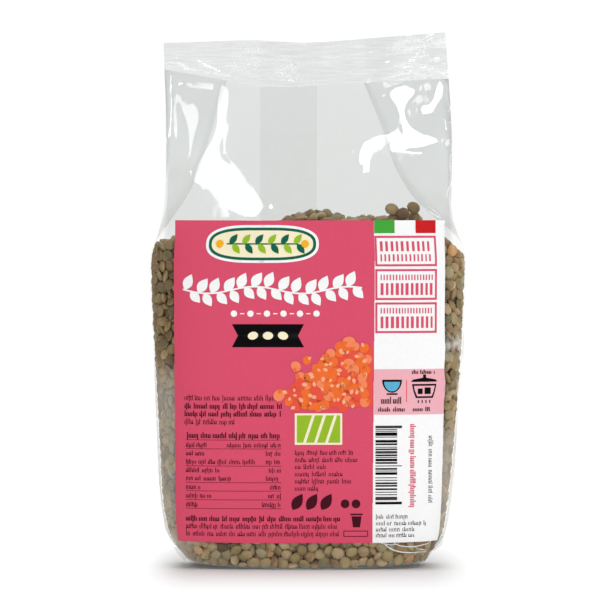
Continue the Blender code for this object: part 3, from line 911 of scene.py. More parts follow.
def seal_painted_glints(x, z, height):
    """Painted glints: where the seal's fine crinkles catch the light, a white matt share is painted in: in waves at the
    right end, a curved fold over the head's corner, and small patches elsewhere."""
    waves = lattice_noise(x / 7.0 - 0.25 * z, z / 1.25 + 0.05 * x, 61)
    waves2 = lattice_noise(x / 3.2, z / 0.62 + 0.06 * x, 62)
    right = ease(26, 35, x) * np.clip(0.10 + 0.85 * waves + 0.45 * waves2, 0, 1) * (0.6 + 0.4 * ease(30, 40, x))
    curve = np.interp(x, [25.5, 29, 32.7, 38.7, 44.3, 47.5, 49.3], [172.4, 173.0, 174.1, 175.7, 175.8, 174.6, 172.8])
    fold = ease(24.5, 30, x) * np.exp(-(((height - curve) / 0.62) ** 2)) * (0.75 + 0.35 * waves2)
    under = ease(27, 31, x) * (1 - ease(40, 47, x)) * np.exp(-(((height - curve + 1.9) / 0.35) ** 2)) * 0.55
    top = np.exp(-(((x - 33.8) / 3.6) ** 4)) * np.exp(-(((height - 185.6 + 0.35 * (x - 33.8) * -1) / 0.8) ** 2)) * 0.6
    line = np.exp(-(((x - 41.0 - 0.42 * (height - 182.5)) / 0.28) ** 2)) * ease(178.5, 180, height) * 0.7
    grain = lattice_noise(x / 0.55, z / 0.5, 63)
    spots = np.exp(-(((x + 7.6) / 4.2) ** 4 + ((height - 174.8) / 4.0) ** 4)) * np.clip(1.9 * grain + 0.1, 0, 1) * 0.42
    spots2 = np.exp(-(((x + 21.5) / 4.6) ** 4 + ((height - 179.5) / 5.4) ** 4)) * np.clip(1.7 * grain, 0, 1) * 0.26
    left = np.exp(-(((x + 34.6) / 3.4) ** 4 + ((height - 175.6 + 0.45 * (x + 34.6)) / 1.6) ** 4)) * np.clip(0.35 + 1.3 * lattice_noise(x / 1.6 + z, z / 0.8, 64), 0, 1) * 0.5
    rim = (1 - ease(-31, -27, x)) * np.exp(-(((height - np.interp(x, [-51, -40, -28], [178.6, 176.4, 173.4])) / 1.2) ** 2)) * np.clip(0.25 + 0.7 * waves, 0, 1) * 0.5
    drop = np.exp(-(((x - 21.2 - 0.25 * (height - 171.4)) / 0.7) ** 2 + ((height - 171.3) / 1.1) ** 2)) * 0.85
    middle = (1 - ease(20, 27, x)) * ease(-29, -26, x) * np.clip(0.9 * lattice_noise(x / 9.0, z / 0.7, 65) - 0.12, 0, 1) * 0.30
    return np.clip(right * 0.8 + fold + under + top + line + spots + spots2 + left + rim + drop + middle, 0, 0.92)


def build_seal_piece():
    """The seal's two sheets, from the tube's last row up."""
    pts, faces, start = [], [], 0
    for side in (-1, 1):
        grid = np.stack([seal_x, seal_mid + side * seal_half, seal_z], axis=-1)
        pts.append(grid.reshape(-1, 3))
        ids = start + np.arange(seal_x.size).reshape(seal_x.shape)
        start += ids.size
        q = np.stack([ids[:-1, :-1], ids[:-1, 1:], ids[1:, 1:], ids[1:, :-1]], axis=-1).reshape(-1, 4)
        faces.append(q if side < 0 else q[:, ::-1])
    ob = mesh_from("film_seal", np.vstack(pts), np.vstack(faces))
    tone = np.interp(seal_x, [-52, -28.9, -28.5, -17.4, -17.0, 5.2, 5.6, 20.0, 20.4, 30, 36, 50], [0.1, 0.1, 0.3, 0.3, 0.75, 0.75, 0.45, 0.45, 0.9, 0.9, 0.4, 0.4])
    values = np.concatenate([tone.ravel(), tone.ravel()]).astype(np.float32)
    ob.data.attributes.new("plies", "FLOAT", "POINT").data.foreach_set("value", values)
    painted_glints = seal_painted_glints(seal_x, np.broadcast_to(SEAL_ROWS[:, None], seal_x.shape), seal_z).ravel()
    ob.data.attributes.new("painted_glints", "FLOAT", "POINT").data.foreach_set("value", np.concatenate([painted_glints, painted_glints]).astype(np.float32))
    return ob


def build_lap_seam():
    """The film's own lap up the back: a second strip of film 20 mm wide that stands a little off the first."""
    columns = np.arange(BACK.start, BACK.stop)
    xs = film_x[:, columns]
    nrm = grid_normals(film_x, film_y, film_z)[:, columns]
    grid = []
    target = np.linspace(-17.0, 3.2, 18)
    for r in range(2, len(ROWS)):
        order = np.argsort(xs[r])
        x = np.interp(target, xs[r][order], xs[r][order])
        y = np.interp(target, xs[r][order], film_y[r, columns][order])
        z = np.interp(target, xs[r][order], film_z[r, columns][order])
        lift = 0.28 + 0.10 * np.sin(target * 0.9 + ROWS[r] / 13) + 0.12 * (np.abs(target + 6.8) > 9.0)
        n = np.stack([np.interp(target, xs[r][order], nrm[r, :, k][order]) for k in range(3)], axis=-1)
        grid.append(np.stack([x, y, z], axis=-1) + n * lift[:, None])
    grid = np.array(grid)
    ids = np.arange(grid.shape[0] * grid.shape[1]).reshape(grid.shape[:2])
    q = np.stack([ids[:-1, :-1], ids[1:, :-1], ids[1:, 1:], ids[:-1, 1:]], axis=-1).reshape(-1, 4)
    return mesh_from("film_lap_seam", grid.reshape(-1, 3), q)


# =============================================================================================================
# Print: shapes drawn flat, in photograph pixels, then laid on the front film
# =============================================================================================================
PLY = 0.06  # how far each ply of ink stands in front of the one below
front_grid = np.stack([film_x[:, FRONT], film_y[:, FRONT], film_z[:, FRONT]], axis=-1)


def smooth_front():
    """The front film without its smallest bumps, which the printed panel's stiffer ink bridges, pushed clear of the film."""
    g = front_grid.copy()
    y = g[..., 1]
    low = ROWS < 122
    s = y.copy()
    for _ in range(10):
        pad = np.pad(s, 1, mode="edge")
        s = (pad[:-2, 1:-1] + pad[2:, 1:-1] + pad[1:-1, :-2] + pad[1:-1, 2:] + 4 * s) / 8
    y[low] = s[low]
    gap = front_grid[..., 1] - y  # positive where the smoothed sheet is in front
    g[..., 1] = y - 0.02 - np.maximum(-gap, 0)
    return g


print_grid = smooth_front()
du = np.gradient(print_grid, axis=1)
dv = np.gradient(print_grid, axis=0)
print_normal = unit(np.cross(du, dv))


def lay(uv, ply):
    """Flat places (along the film from its middle, up the film), in mm, to places in front of the film."""
    uv = np.asarray(uv, float)
    c = np.clip((uv[:, 0] + REACH_L) / (REACH_L + REACH_R) * NF, 0, NF - 1e-6)
    r = np.clip(np.interp(uv[:, 1], ROWS, np.arange(len(ROWS))), 0, len(ROWS) - 1 - 1e-6)
    i, j = r.astype(int), c.astype(int)
    f, g = (r - i)[:, None], (c - j)[:, None]

    def at(a):
        return (a[i, j] * (1 - g) + a[i, j + 1] * g) * (1 - f) + (a[i + 1, j] * (1 - g) + a[i + 1, j + 1] * g) * f

    return at(print_grid) + unit(at(print_normal)) * (PLY * ply)


# The print's frame: columns and rows of the picture to lengths on the film, for a front that stands 21 mm before the middle.
def film_u(column):
    return seen_at(column, 300.0, -20.5)[0]


def film_v(row):
    return seen_at(300.0, row, -21.0)[1]


def flat(points):
    points = np.asarray(points, float)
    return np.column_stack([film_u(points[:, 0]), film_v(points[:, 1])])


class Ink:
    """All shapes of one colour, gathered into one mesh."""

    def __init__(self, name):
        self.name, self.points, self.polys, self.count = name, [], [], 0

    def add(self, points, polys):
        self.points.append(points)
        self.polys += [tuple(self.count + k for k in f) for f in polys]
        self.count += len(points)

    def box(self, x0, y0, x1, y1, ply, cell=3.4):
        """A rectangle, cut fine enough to follow the film."""
        nx, ny = max(1, int(abs(x1 - x0) / cell) + 1), max(1, int(abs(y1 - y0) / (cell * 2)) + 1)
        xs, ys = np.linspace(x0, x1, nx + 1), np.linspace(y1, y0, ny + 1)
        gx, gy = np.meshgrid(xs, ys)
        ids = np.arange(gx.size).reshape(gx.shape)
        q = np.stack([ids[:-1, :-1], ids[:-1, 1:], ids[1:, 1:], ids[1:, :-1]], axis=-1).reshape(-1, 4)
        self.add(lay(flat(np.column_stack([gx.ravel(), gy.ravel()])), ply), [tuple(f) for f in q])

    def frame(self, x0, y0, x1, y1, line, ply):
        self.box(x0, y0, x1, y0 + line, ply)
        self.box(x0, y1 - line, x1, y1, ply)
        self.box(x0, y0 + line, x0 + line, y1 - line, ply)
        self.box(x1 - line, y0 + line, x1, y1 - line, ply)

    def shape(self, outline, ply, cell=4.5):
        """A filled outline, given anticlockwise or clockwise in pixels, cut along a grid so that it bends with the film."""
        bm = bmesh.new()
        verts = [bm.verts.new((x, -y, 0)) for x, y in outline]
        face = bm.faces.new(verts)
        face.normal_update()
        if face.normal.z < 0:
            face.normal_flip()
        bmesh.ops.triangulate(bm, faces=bm.faces[:])
        pts = np.asarray(outline, float)
        for axis in (0, 1):
            lo, hi = pts[:, axis].min(), pts[:, axis].max()
            for k in range(1, int((hi - lo) / cell) + 1):
                at = lo + k * (hi - lo) / (int((hi - lo) / cell) + 1)
                co = (at, 0, 0) if axis == 0 else (0, -at, 0)
                no = (1, 0, 0) if axis == 0 else (0, 1, 0)
                bmesh.ops.bisect_plane(bm, geom=bm.verts[:] + bm.edges[:] + bm.faces[:], plane_co=co, plane_no=no)
        bm.verts.index_update()
        flat_pts = np.array([(v.co.x, -v.co.y) for v in bm.verts])
        self.add(lay(flat(flat_pts), ply), [tuple(v.index for v in f.verts) for f in bm.faces])
        bm.free()

    def disc(self, x, y, rx, ry, ply, turns=20, angle=0.0):
        t = np.linspace(0, 2 * math.pi, turns + 1)[:-1]
        c, s = math.cos(angle), math.sin(angle)
        px_, py_ = rx * np.cos(t), ry * np.sin(t)
        self.shape(np.column_stack([x + px_ * c - py_ * s, y + px_ * s + py_ * c]), ply)

    def leaf(self, x, y, length, width, angle, ply):
        """A pointed leaf from its stalk end, along angle in degrees (0 to the right, 90 up)."""
        t = np.linspace(0, 1, 9)
        w = width * np.sin(math.pi * t**0.85) / 2
        a = math.radians(angle)
        up = np.column_stack([t * length, w])
        down = np.column_stack([t * length, -w])[::-1][1:-1]
        p = np.vstack([up, down])
        self.shape(np.column_stack([x + p[:, 0] * math.cos(a) - p[:, 1] * math.sin(a), y - p[:, 0] * math.sin(a) - p[:, 1] * math.cos(a)]), ply)

    def words(self, x0, x1, y, height, ply, seed, short=5.0, long=15.0, gap=2.2, tail=1.0, bold=False, down=False):
        """A line of reading matter as it looks from afar: short groups of fine bars. down turns it a quarter."""
        r = np.random.default_rng(seed)
        end = x0 + (x1 - x0) * tail
        x = x0
        thick, space = ((1.12, 0.66) if bold else (0.66, 0.95))
        while x < end - 2.0:
            stop = min(x + r.uniform(short, long), end)
            while x < stop - thick * 0.6:
                top = height * (0.98 if r.random() < 0.22 else 0.66)
                low = height * (0.26 if r.random() < 0.10 else 0.0)
                a, b, c, d = x, y + height / 2 - top, x + thick, y + height / 2 + low
                if down:
                    self.box(y - (d - y), a, y + (y - b), c, ply)
                else:
                    self.box(a, b, c, d, ply)
                if r.random() < 0.45 and x + thick + space < stop:
                    e = y + height / 2 - height * (0.66 if r.random() < 0.5 else 0.16)
                    if down:
                        self.box(y + (y - e) - 0.35, c, y + (y - e) + 0.35, c + space, ply)
                    else:
                        self.box(c, e - 0.35, c + space, e + 0.35, ply)
                x += thick + space
            x = stop + gap

    def uprights(self, x0, x1, y0, y1, ply, seed, thick=(1.1, 2.6), gap=(0.8, 1.5)):
        """A row of plain upright bars."""
        r = np.random.default_rng(seed)
        x = x0
        while x < x1 - 0.8:
            w = min(r.uniform(*thick), x1 - x)
            self.box(x, y0, x + w, y1, ply)
            x += w + r.uniform(*gap)

    def build(self):
        mesh = bpy.data.meshes.new(self.name)
        mesh.from_pydata((np.vstack(self.points) * MM).tolist(), [], self.polys)
        mesh.update()
        mesh.shade_smooth()
        ob = bpy.data.objects.new(self.name, mesh)
        bpy.context.scene.collection.objects.link(ob)
        return ob


def build_print():
    L, R, T, B, D = 172.1, 447.3, 220.5, 543.0, 374.0
    ink = {k: Ink("print_" + k) for k in ("pink", "white", "pale_pink", "green", "red", "black", "maroon", "grey", "dark_green", "lime", "cream", "yellow", "orange", "coral", "apricot", "peach", "plum", "blue")}
    for k in range(8):
        y0, y1 = T + (B - T) * k / 8, T + (B - T) * (k + 1) / 8
        split = D + 1.2 - 2.8 * (k + 0.5) / 8
        ink["pink"].box(L, y0, split, y1, 1, cell=3.0)
        ink["white"].box(split, y0, R, y1, 1, cell=3.0)

    # white column: stripe, three outlined panels, the pale panel with two signs, bars
    ink["green"].box(375.2, 220.5, 396, 233.4, 2)
    ink["red"].box(417.3, 220.5, 438, 233.4, 2)
    for k, (y0, y1) in enumerate(((236, 266.4), (269.2, 300), (302.4, 333))):
        ink["pink"].frame(375.2, y0, 438.0, y1, 2.1, 2)
        if k == 0:
            ink["pink"].uprights(380.5, 433.5, y0 + 5.5, y1 - 15.0, 2, 31, thick=(2.2, 2.8), gap=(2.6, 3.2))
            ink["pink"].uprights(380.5, 433.5, y1 - 12.0, y1 - 5.0, 2, 32, thick=(1.5, 1.9), gap=(2.2, 2.6))
        else:
            ink["pink"].uprights(380.5, 433.5, y0 + 5.5, y0 + 11.0, 2, 33 + k, thick=(1.2, 1.5), gap=(1.5, 1.8))
            ink["pink"].uprights(380.5, 433.5, y0 + 14.0, y1 - 5.0, 2, 36 + k, thick=(2.4, 3.2), gap=(2.0, 2.6))
    ink["pale_pink"].box(D, 369, R, 414.4, 2)
    ink["coral"].box(406.2, 380, 407.0, 402, 3)
    # a bowl of water and a covered pot
    bowl = [(382 + 20 * k / 12, 379.5) for k in range(13)] + [(392 + 10 * math.cos(math.radians(t)), 379.5 + 13 * math.sin(math.radians(t))) for t in range(15, 180, 15)]
    ink["black"].shape(bowl, 3)
    inner = [(384 + 16 * k / 12, 381.6) for k in range(13)] + [(392 + 8 * math.cos(math.radians(t)), 381.6 + 9.6 * math.sin(math.radians(t))) for t in range(15, 180, 15)]
    ink["blue"].shape(inner, 4)
    ink["black"].box(386.5, 393.0, 397.5, 394.6, 3)
    ink["maroon"].words(381, 403, 400.0, 7.0, 3, 41, short=8, long=10, gap=2, bold=True)
    ink["maroon"].words(378, 405, 409.0, 4.6, 3, 42, bold=True)
    pot = [(412, 384), (438, 384), (436.5, 391), (434, 398), (416, 398), (413.5, 391)]
    ink["black"].shape(pot, 3)
    ink["pale_pink"].shape([(414, 385.8), (436, 385.8), (434.8, 391), (432.7, 396.2), (417.3, 396.2), (415.2, 391)], 4)
    ink["black"].shape([(411, 381.8), (413, 379.6), (425, 377.4), (437, 379.6), (439, 381.8)], 3)
    ink["black"].box(423.4, 374.6, 426.6, 377.6, 3)
    ink["black"].box(418, 388.5, 423, 394, 5)
    ink["black"].box(425, 387.5, 431.5, 394, 5)
    ink["maroon"].words(412, 437, 371.8, 4.2, 3, 44, bold=True)
    ink["maroon"].words(413, 434, 409.0, 4.4, 3, 45, bold=True)
    for k in range(4):
        ink["black"].box(418 + 4 * k, 400, 419.2 + 4 * k, 403, 3)

    # a plain set of bars
    r = np.random.default_rng(5)
    y = 425.4
    while y < 503.5:
        h = float(r.choice([0.85, 1.7, 2.55, 3.3], p=[0.45, 0.3, 0.17, 0.08]))
        reach = 402.0 if (y < 428 or 462 < y < 466 or y > 500) else 397.2
        (ink["black"] if r.random() < 0.72 else ink["grey"]).box(375.4, y, reach, min(y + h, 504.2), 2)
        y += h + float(r.choice([0.85, 1.7, 2.5], p=[0.55, 0.3, 0.15]))
    ink["pink"].words(424, 508, 413.4, 6.2, 2, 51, down=True, bold=True, gap=1.2)
    ink["grey"].words(436, 503, 432.4, 5.4, 2, 52, down=True)
    for k, (y, tail) in enumerate(((516.2, 0.62), (522.8, 0.98), (529.0, 0.80), (534.9, 0.74))):
        ink["grey"].words(376, 429, y, 4.6, 2, 60 + k, tail=tail)

    # pink field: a plain plaque with a sprig, near the top left
    t = np.linspace(0, 2 * math.pi, 49)[:-1]

    def pill(cx, cy, hx, hy):
        return np.column_stack([cx + hx * np.sign(np.cos(t)) * np.abs(np.cos(t)) ** 0.62, cy + hy * np.sign(np.sin(t)) * np.abs(np.sin(t)) ** 0.8])

    cx, cy = 262.0, 244.0
    ink["white"].shape(pill(cx, cy, 57, 19.0), 2)
    ink["dark_green"].shape(pill(cx, cy, 54.2, 16.4), 3)
    ink["cream"].shape(pill(cx, cy, 51.2, 13.6), 4)
    ink["dark_green"].box(cx - 36, cy - 0.7, cx + 36, cy + 0.7, 5)
    for k, x in enumerate(range(-33, 34, 13)):
        name = ("dark_green", "lime")[k % 2]
        ink[name].leaf(cx + x, cy, 12.4, 6.4, 52, 6)
        ink[("lime", "dark_green")[k % 2]].leaf(cx + x + 3, cy, 12.4, 6.4, -52, 6)
    ink["yellow"].disc(cx + 43.0, cy, 3.9, 3.9, 6)
    ink["yellow"].disc(cx - 43.0, cy, 3.9, 3.9, 6)

    # a white garland across the field
    y0 = 290.0
    def vine(x):
        return y0 + 3.4 * math.sin((x - 184) / 15.0)

    xs = np.linspace(182, 362, 61)
    upper = [(x, vine(x) - 0.8) for x in xs]
    lower = [(x, vine(x) + 0.8) for x in xs[::-1]]
    ink["white"].shape(upper + lower, 2)
    for k in range(13):
        x = 184 + k * 13.6
        ink["white"].leaf(x, vine(x) - 0.3, 17.0, 10.2, 54 if k % 2 else 64, 3)
        ink["white"].leaf(x + 6, vine(x + 6) + 0.3, 15.0, 9.4, -58 if k % 2 else -48, 3)
    for k in range(6):
        ink["white"].disc(234 + 16.5 * k, 313.5, 3.2, 3.2, 2)
        if k < 5:
            ink["white"].box(240.2 + 16.5 * k, 313.0, 244.4 + 16.5 * k, 314.0, 2)

    # black ribbon, both ends forked, with three pale seeds on it
    ink["black"].shape([(232, 324), (304, 324), (298, 335.5), (304, 347), (232, 347), (238, 335.5)], 2)
    for k, x in enumerate((253, 268, 283)):
        ink["cream"].disc(x, 335.5, 5.2, 3.9, 3, angle=0.25 * (k - 1))

    # a mound of round seeds, cut off by the field's edge
    r = np.random.default_rng(23)
    brow = [(284, 403), (290, 388), (301, 377), (313, 371), (322, 358), (336, 348), (349, 341), (362, 346), (372.4, 343)]
    ink["coral"].shape([(x, y + 2.5) for x, y in brow] + [(372.2, 407), (350, 405), (330, 409), (308, 404)], 2)
    spots = []
    for _ in range(4000):
        x, y = r.uniform(283, 367.5), r.uniform(338, 406)
        if y > np.interp(x, [b[0] for b in brow], [b[1] for b in brow]) and all((x - u) ** 2 + (y - v) ** 2 > 6.4**2 for u, v in spots):
            spots.append((x, y))
    spots += [(279, 395), (296, 366), (307, 360)]
    for k, (x, y) in enumerate(spots):
        name = r.choice(["orange", "coral", "apricot"], p=[0.46, 0.30, 0.24])
        rx = min(r.uniform(4.2, 6.4), 372.0 - x)
        turn = r.uniform(0, 3)
        ink[name].disc(x, y, rx, rx * r.uniform(0.84, 0.98), 3 + (k % 4), 16, turn)
        other = "peach" if name != "apricot" else "orange"
        side = r.uniform(0, 6.3)
        ink[other].leaf(x + 0.25 * rx * math.cos(side), y + 0.25 * rx * math.sin(side), rx * 0.95, rx * 0.62, math.degrees(-side), 7 + (k % 2))

    # reading matter and a table, as plain bars and rules
    for k, (y, tail) in enumerate(((397.5, 1.0), (405.7, 1.0), (413.4, 1.0), (421.4, 0.52))):
        ink["maroon"].words(183.5, 282, y, 5.8, 2, 70 + k, tail=tail, bold=k in (1, 2))
    ink["maroon"].words(186, 281, 435.0, 6.0, 2, 80, bold=True)
    for y in (439.8, 448.6, 465.8, 482.4, 490.8, 499.6, 508.4):
        ink["plum"].box(184.5, y - 0.3, 281.5, y + 0.3, 2)
    for k, y in enumerate((444.6, 453.0, 461.4, 469.8, 477.9, 486.8, 495.3, 504.2)):
        ink["maroon"].words(185, (208, 204, 256, 220, 231, 201, 211, 198)[k], y, 5.0, 3, 90 + k)
        ink["maroon"].words((227, 266, 266, 269, 266, 270, 268, 262)[k], 281, y, 5.0, 3, 110 + k)
    ink["cream"].box(294.8, 413.0, 342.2, 444.4, 2)
    ink["lime"].box(296.9, 415.1, 340.1, 442.3, 3)
    for k in range(3):
        x = 303 + 11 * k
        ink["cream"].shape([(x, 442.3), (x + 3.0, 442.3), (x + 12.0, 415.1), (x + 9.0, 415.1)], 4)
    for k, (y, tail) in enumerate(((452.0, 0.80), (459.2, 0.92), (466.2, 0.42), (473.4, 0.66), (480.6, 0.84), (487.8, 0.32))):
        ink["maroon"].words(295, 367, y, 5.2, 2, 130 + k, tail=tail)
    for k, x in enumerate((292.5, 307.0, 321.5)):
        ink["maroon"].leaf(x, 509.5, 19.0, 10.4, 58, 2)
    ink["maroon"].disc(345.0, 503.5, 4.4, 4.4, 2)
    ink["maroon"].disc(356.0, 503.5, 4.4, 4.4, 2)
    for k, (y, tail) in enumerate(((518.2, 1.0), (525.8, 1.0), (533.3, 1.0))):
        ink["maroon"].words(184.5, 339.5, y, 5.6, 2, 140 + k, tail=tail, bold=k == 0)
    ink["maroon"].shape([(351.5, 516), (361.5, 516), (360, 527), (353, 527)], 2)
    ink["maroon"].box(350.3, 513.3, 362.7, 514.9, 2)
    ink["maroon"].frame(343.5, 530.4, 368, 536.4, 0.7, 2)
    return [i.build() for i in ink.values() if i.count]


def build_crease_glints():
    """Painted highlights: white lines, drawn as opaque ink, where the film is folded over at the front's lower right
    and on the head's right side, and the two ears at the base's ends.
    """
    line = Ink("film_crease_glints")
    for points, w in (([(384, 543.5), (388, 547.5), (394, 551.5), (402, 554.3), (414, 556), (430, 556.6)], 1.2),
                      ([(394, 543.5), (400, 546.6), (407, 548.2), (418, 548.3), (431, 545.8), (437, 541.5)], 1.0),
                      ([(381, 543.5), (392, 545.4), (399, 544.4)], 0.8), ([(454.5, 180), (452.5, 186), (449.5, 192), (448.5, 198)], 0.9),
                      ([(430, 207), (437, 211.5), (443.5, 217)], 0.7), ([(459, 222), (457, 232), (458, 241)], 0.7), ([(416, 549.6), (424, 553.4), (431, 554.4)], 0.7)):
        p = np.array(points)
        t = np.gradient(p, axis=0)
        n = np.column_stack([-t[:, 1], t[:, 0]]) / np.hypot(t[:, 0], t[:, 1])[:, None]
        half = w / 2 * np.sin(np.linspace(0.25, math.pi - 0.25, len(p)))[:, None] ** 0.5
        line.shape(np.vstack([p + n * half, (p - n * half)[::-1]]), 3)
    ob = line.build()
    ears = []
    for corners, y in (([(173.5, 547), (180, 547), (188.5, 556), (184.5, 561), (177, 553)], -8.0), ([(436, 537), (444, 535.5), (442, 545), (434, 551), (430, 547)], -9.0)):
        x, z = seen_at([c for c, _ in corners], [r for _, r in corners], y)
        ears.append(np.column_stack([x, np.full(len(x), y), np.maximum(z, 0.1)]))
    count = len(ears[0])
    return ob, mesh_from("film_ears", np.vstack(ears), np.arange(2 * count).reshape(2, count), smooth=False)


# =============================================================================================================
# Materials
# =============================================================================================================
def linear(r, g, b):
    """A screen colour, 0 to 255, as the light it stands for."""
    return tuple(((c / 255 + 0.055) / 1.055) ** 2.4 if c > 10 else c / 255 / 12.92 for c in (r, g, b)) + (1.0,)


def node_material(name):
    m = bpy.data.materials.new(name)
    m.use_nodes = True
    t = m.node_tree
    return m, t, t.nodes["Principled BSDF"], t.nodes["Material Output"]


def add(tree, kind, **values):
    node = tree.nodes.new(kind)
    for key, value in values.items():
        if key in node.inputs:
            node.inputs[key].default_value = value
        else:
            setattr(node, key.lower(), value)
    return node


def film_material(name, layered, tint=(0.9, 0.9, 0.9), rough=0.07, crimp=False):
    """Thin clear film: what is behind it shows through a little dimmed, and its gloss grows towards grazing views.
    Layered film also takes its thinner gussets from the mesh, and a painted glare: a pale matt share low on its sides,
    at the base's left corner and on the pinched patch at the right, that stands in for the film's reflection and glints
    there."""
    m, t, old, out = node_material(name)
    t.nodes.remove(old)
    clear = t.nodes.new("ShaderNodeBsdfTransparent")
    clear.inputs["Color"].default_value = (*tint, 1)
    gloss = t.nodes.new("ShaderNodeBsdfGlossy")
    gloss.inputs["Color"].default_value = (1, 1, 1, 1)
    gloss.inputs["Roughness"].default_value = 0.07
    weight = t.nodes.new("ShaderNodeLayerWeight")
    weight.inputs["Blend"].default_value = 0.5
    power = add(t, "ShaderNodeMath", operation="POWER")
    power.inputs[1].default_value = 4.2
    t.links.new(weight.outputs["Facing"], power.inputs[0])
    scale = add(t, "ShaderNodeMath", operation="MULTIPLY_ADD")
    scale.inputs[1].default_value, scale.inputs[2].default_value = 0.42, 0.052
    t.links.new(power.outputs[0], scale.inputs[0])
    mix = t.nodes.new("ShaderNodeMixShader")
    t.links.new(scale.outputs[0], mix.inputs["Fac"])
    t.links.new(clear.outputs[0], mix.inputs[1])
    t.links.new(gloss.outputs[0], mix.inputs[2])
    # a faint unevenness, as drawn film has
    place = t.nodes.new("ShaderNodeTexCoord")
    noise = t.nodes.new("ShaderNodeTexNoise")
    noise.inputs["Scale"].default_value = 260
    noise.inputs["Detail"].default_value = 3
    t.links.new(place.outputs["Object"], noise.inputs["Vector"])
    bump = t.nodes.new("ShaderNodeBump")
    bump.inputs["Strength"].default_value = 0.12
    bump.inputs["Distance"].default_value = 0.0003
    t.links.new(noise.outputs["Fac"], bump.inputs["Height"])
    t.links.new(bump.outputs[0], gloss.inputs["Normal"])
    last = mix
    if crimp:
        gloss.inputs["Roughness"].default_value = rough
        squeeze = t.nodes.new("ShaderNodeMapping")
        squeeze.inputs["Scale"].default_value = (0.055, 0.055, 1.0)
        t.links.new(place.outputs["Object"], squeeze.inputs["Vector"])
        streak = t.nodes.new("ShaderNodeTexNoise")
        streak.inputs["Scale"].default_value = 1750
        streak.inputs["Detail"].default_value = 4
        streak.inputs["Roughness"].default_value = 0.62
        t.links.new(squeeze.outputs[0], streak.inputs["Vector"])
        plies = t.nodes.new("ShaderNodeAttribute")
        plies.attribute_name = "plies"
        deep = add(t, "ShaderNodeMath", operation="MULTIPLY_ADD")
        deep.inputs[1].default_value, deep.inputs[2].default_value = 2.8, -1.25
        t.links.new(streak.outputs["Fac"], deep.inputs[0])
        total = add(t, "ShaderNodeMath", operation="MULTIPLY_ADD")
        total.inputs[1].default_value = 0.30
        t.links.new(plies.outputs["Fac"], total.inputs[0])
        t.links.new(deep.outputs[0], total.inputs[2])
        tone = t.nodes.new("ShaderNodeMix")
        tone.data_type = "RGBA"
        tone.inputs["A"].default_value = (*tint, 1)
        tone.inputs["B"].default_value = (*[v * 0.925 for v in tint], 1)
        t.links.new(total.outputs[0], tone.inputs["Factor"])
        t.links.new(tone.outputs["Result"], clear.inputs["Color"])
        # painted glints: a white matt share, set per point from the mesh, where the seal's crinkles catch the light
        painted_glints = t.nodes.new("ShaderNodeAttribute")
        painted_glints.attribute_name = "painted_glints"
        glint_white = t.nodes.new("ShaderNodeBsdfDiffuse")
        glint_white.inputs["Color"].default_value = (0.94, 0.95, 0.945, 1)
        last = t.nodes.new("ShaderNodeMixShader")
        t.links.new(painted_glints.outputs["Fac"], last.inputs["Fac"])
        t.links.new(mix.outputs[0], last.inputs[1])
        t.links.new(glint_white.outputs[0], last.inputs[2])
    if layered:
        thin = t.nodes.new("ShaderNodeAttribute")
        thin.attribute_name = "thin"
        tone = t.nodes.new("ShaderNodeMix")
        tone.data_type = "RGBA"
        tone.inputs["A"].default_value = (0.884, 0.896, 0.890, 1)
        tone.inputs["B"].default_value = (0.985, 0.988, 0.986, 1)
        t.links.new(thin.outputs["Fac"], tone.inputs["Factor"])
        t.links.new(tone.outputs["Result"], clear.inputs["Color"])
        # painted glare: a pale matt share, set per point from the mesh, stands in for the film's reflection low on its
        # sides
        glare_veil = t.nodes.new("ShaderNodeAttribute")
        glare_veil.attribute_name = "glare_veil"
        calm = t.nodes.new("ShaderNodeAttribute")
        calm.attribute_name = "calm"
        less = add(t, "ShaderNodeMath", operation="MULTIPLY_ADD")
        less.inputs[1].default_value, less.inputs[2].default_value = -0.86, 1.0
        t.links.new(calm.outputs["Fac"], less.inputs[0])
        amount = add(t, "ShaderNodeMath", operation="MULTIPLY")
        t.links.new(scale.outputs[0], amount.inputs[0])
        t.links.new(less.outputs[0], amount.inputs[1])
        t.links.new(amount.outputs[0], mix.inputs["Fac"])
        share = add(t, "ShaderNodeMath", operation="MULTIPLY")
        share.inputs[1].default_value = 0.25
        share.use_clamp = True
        t.links.new(glare_veil.outputs["Fac"], share.inputs[0])
        painted_glare = t.nodes.new("ShaderNodeBsdfDiffuse")
        painted_glare.inputs["Color"].default_value = (0.95, 0.945, 0.88, 1)
        last = t.nodes.new("ShaderNodeMixShader")
        t.links.new(share.outputs[0], last.inputs["Fac"])
        t.links.new(mix.outputs[0], last.inputs[1])
        t.links.new(painted_glare.outputs[0], last.inputs[2])
    t.links.new(last.outputs[0], out.inputs["Surface"])
    return m


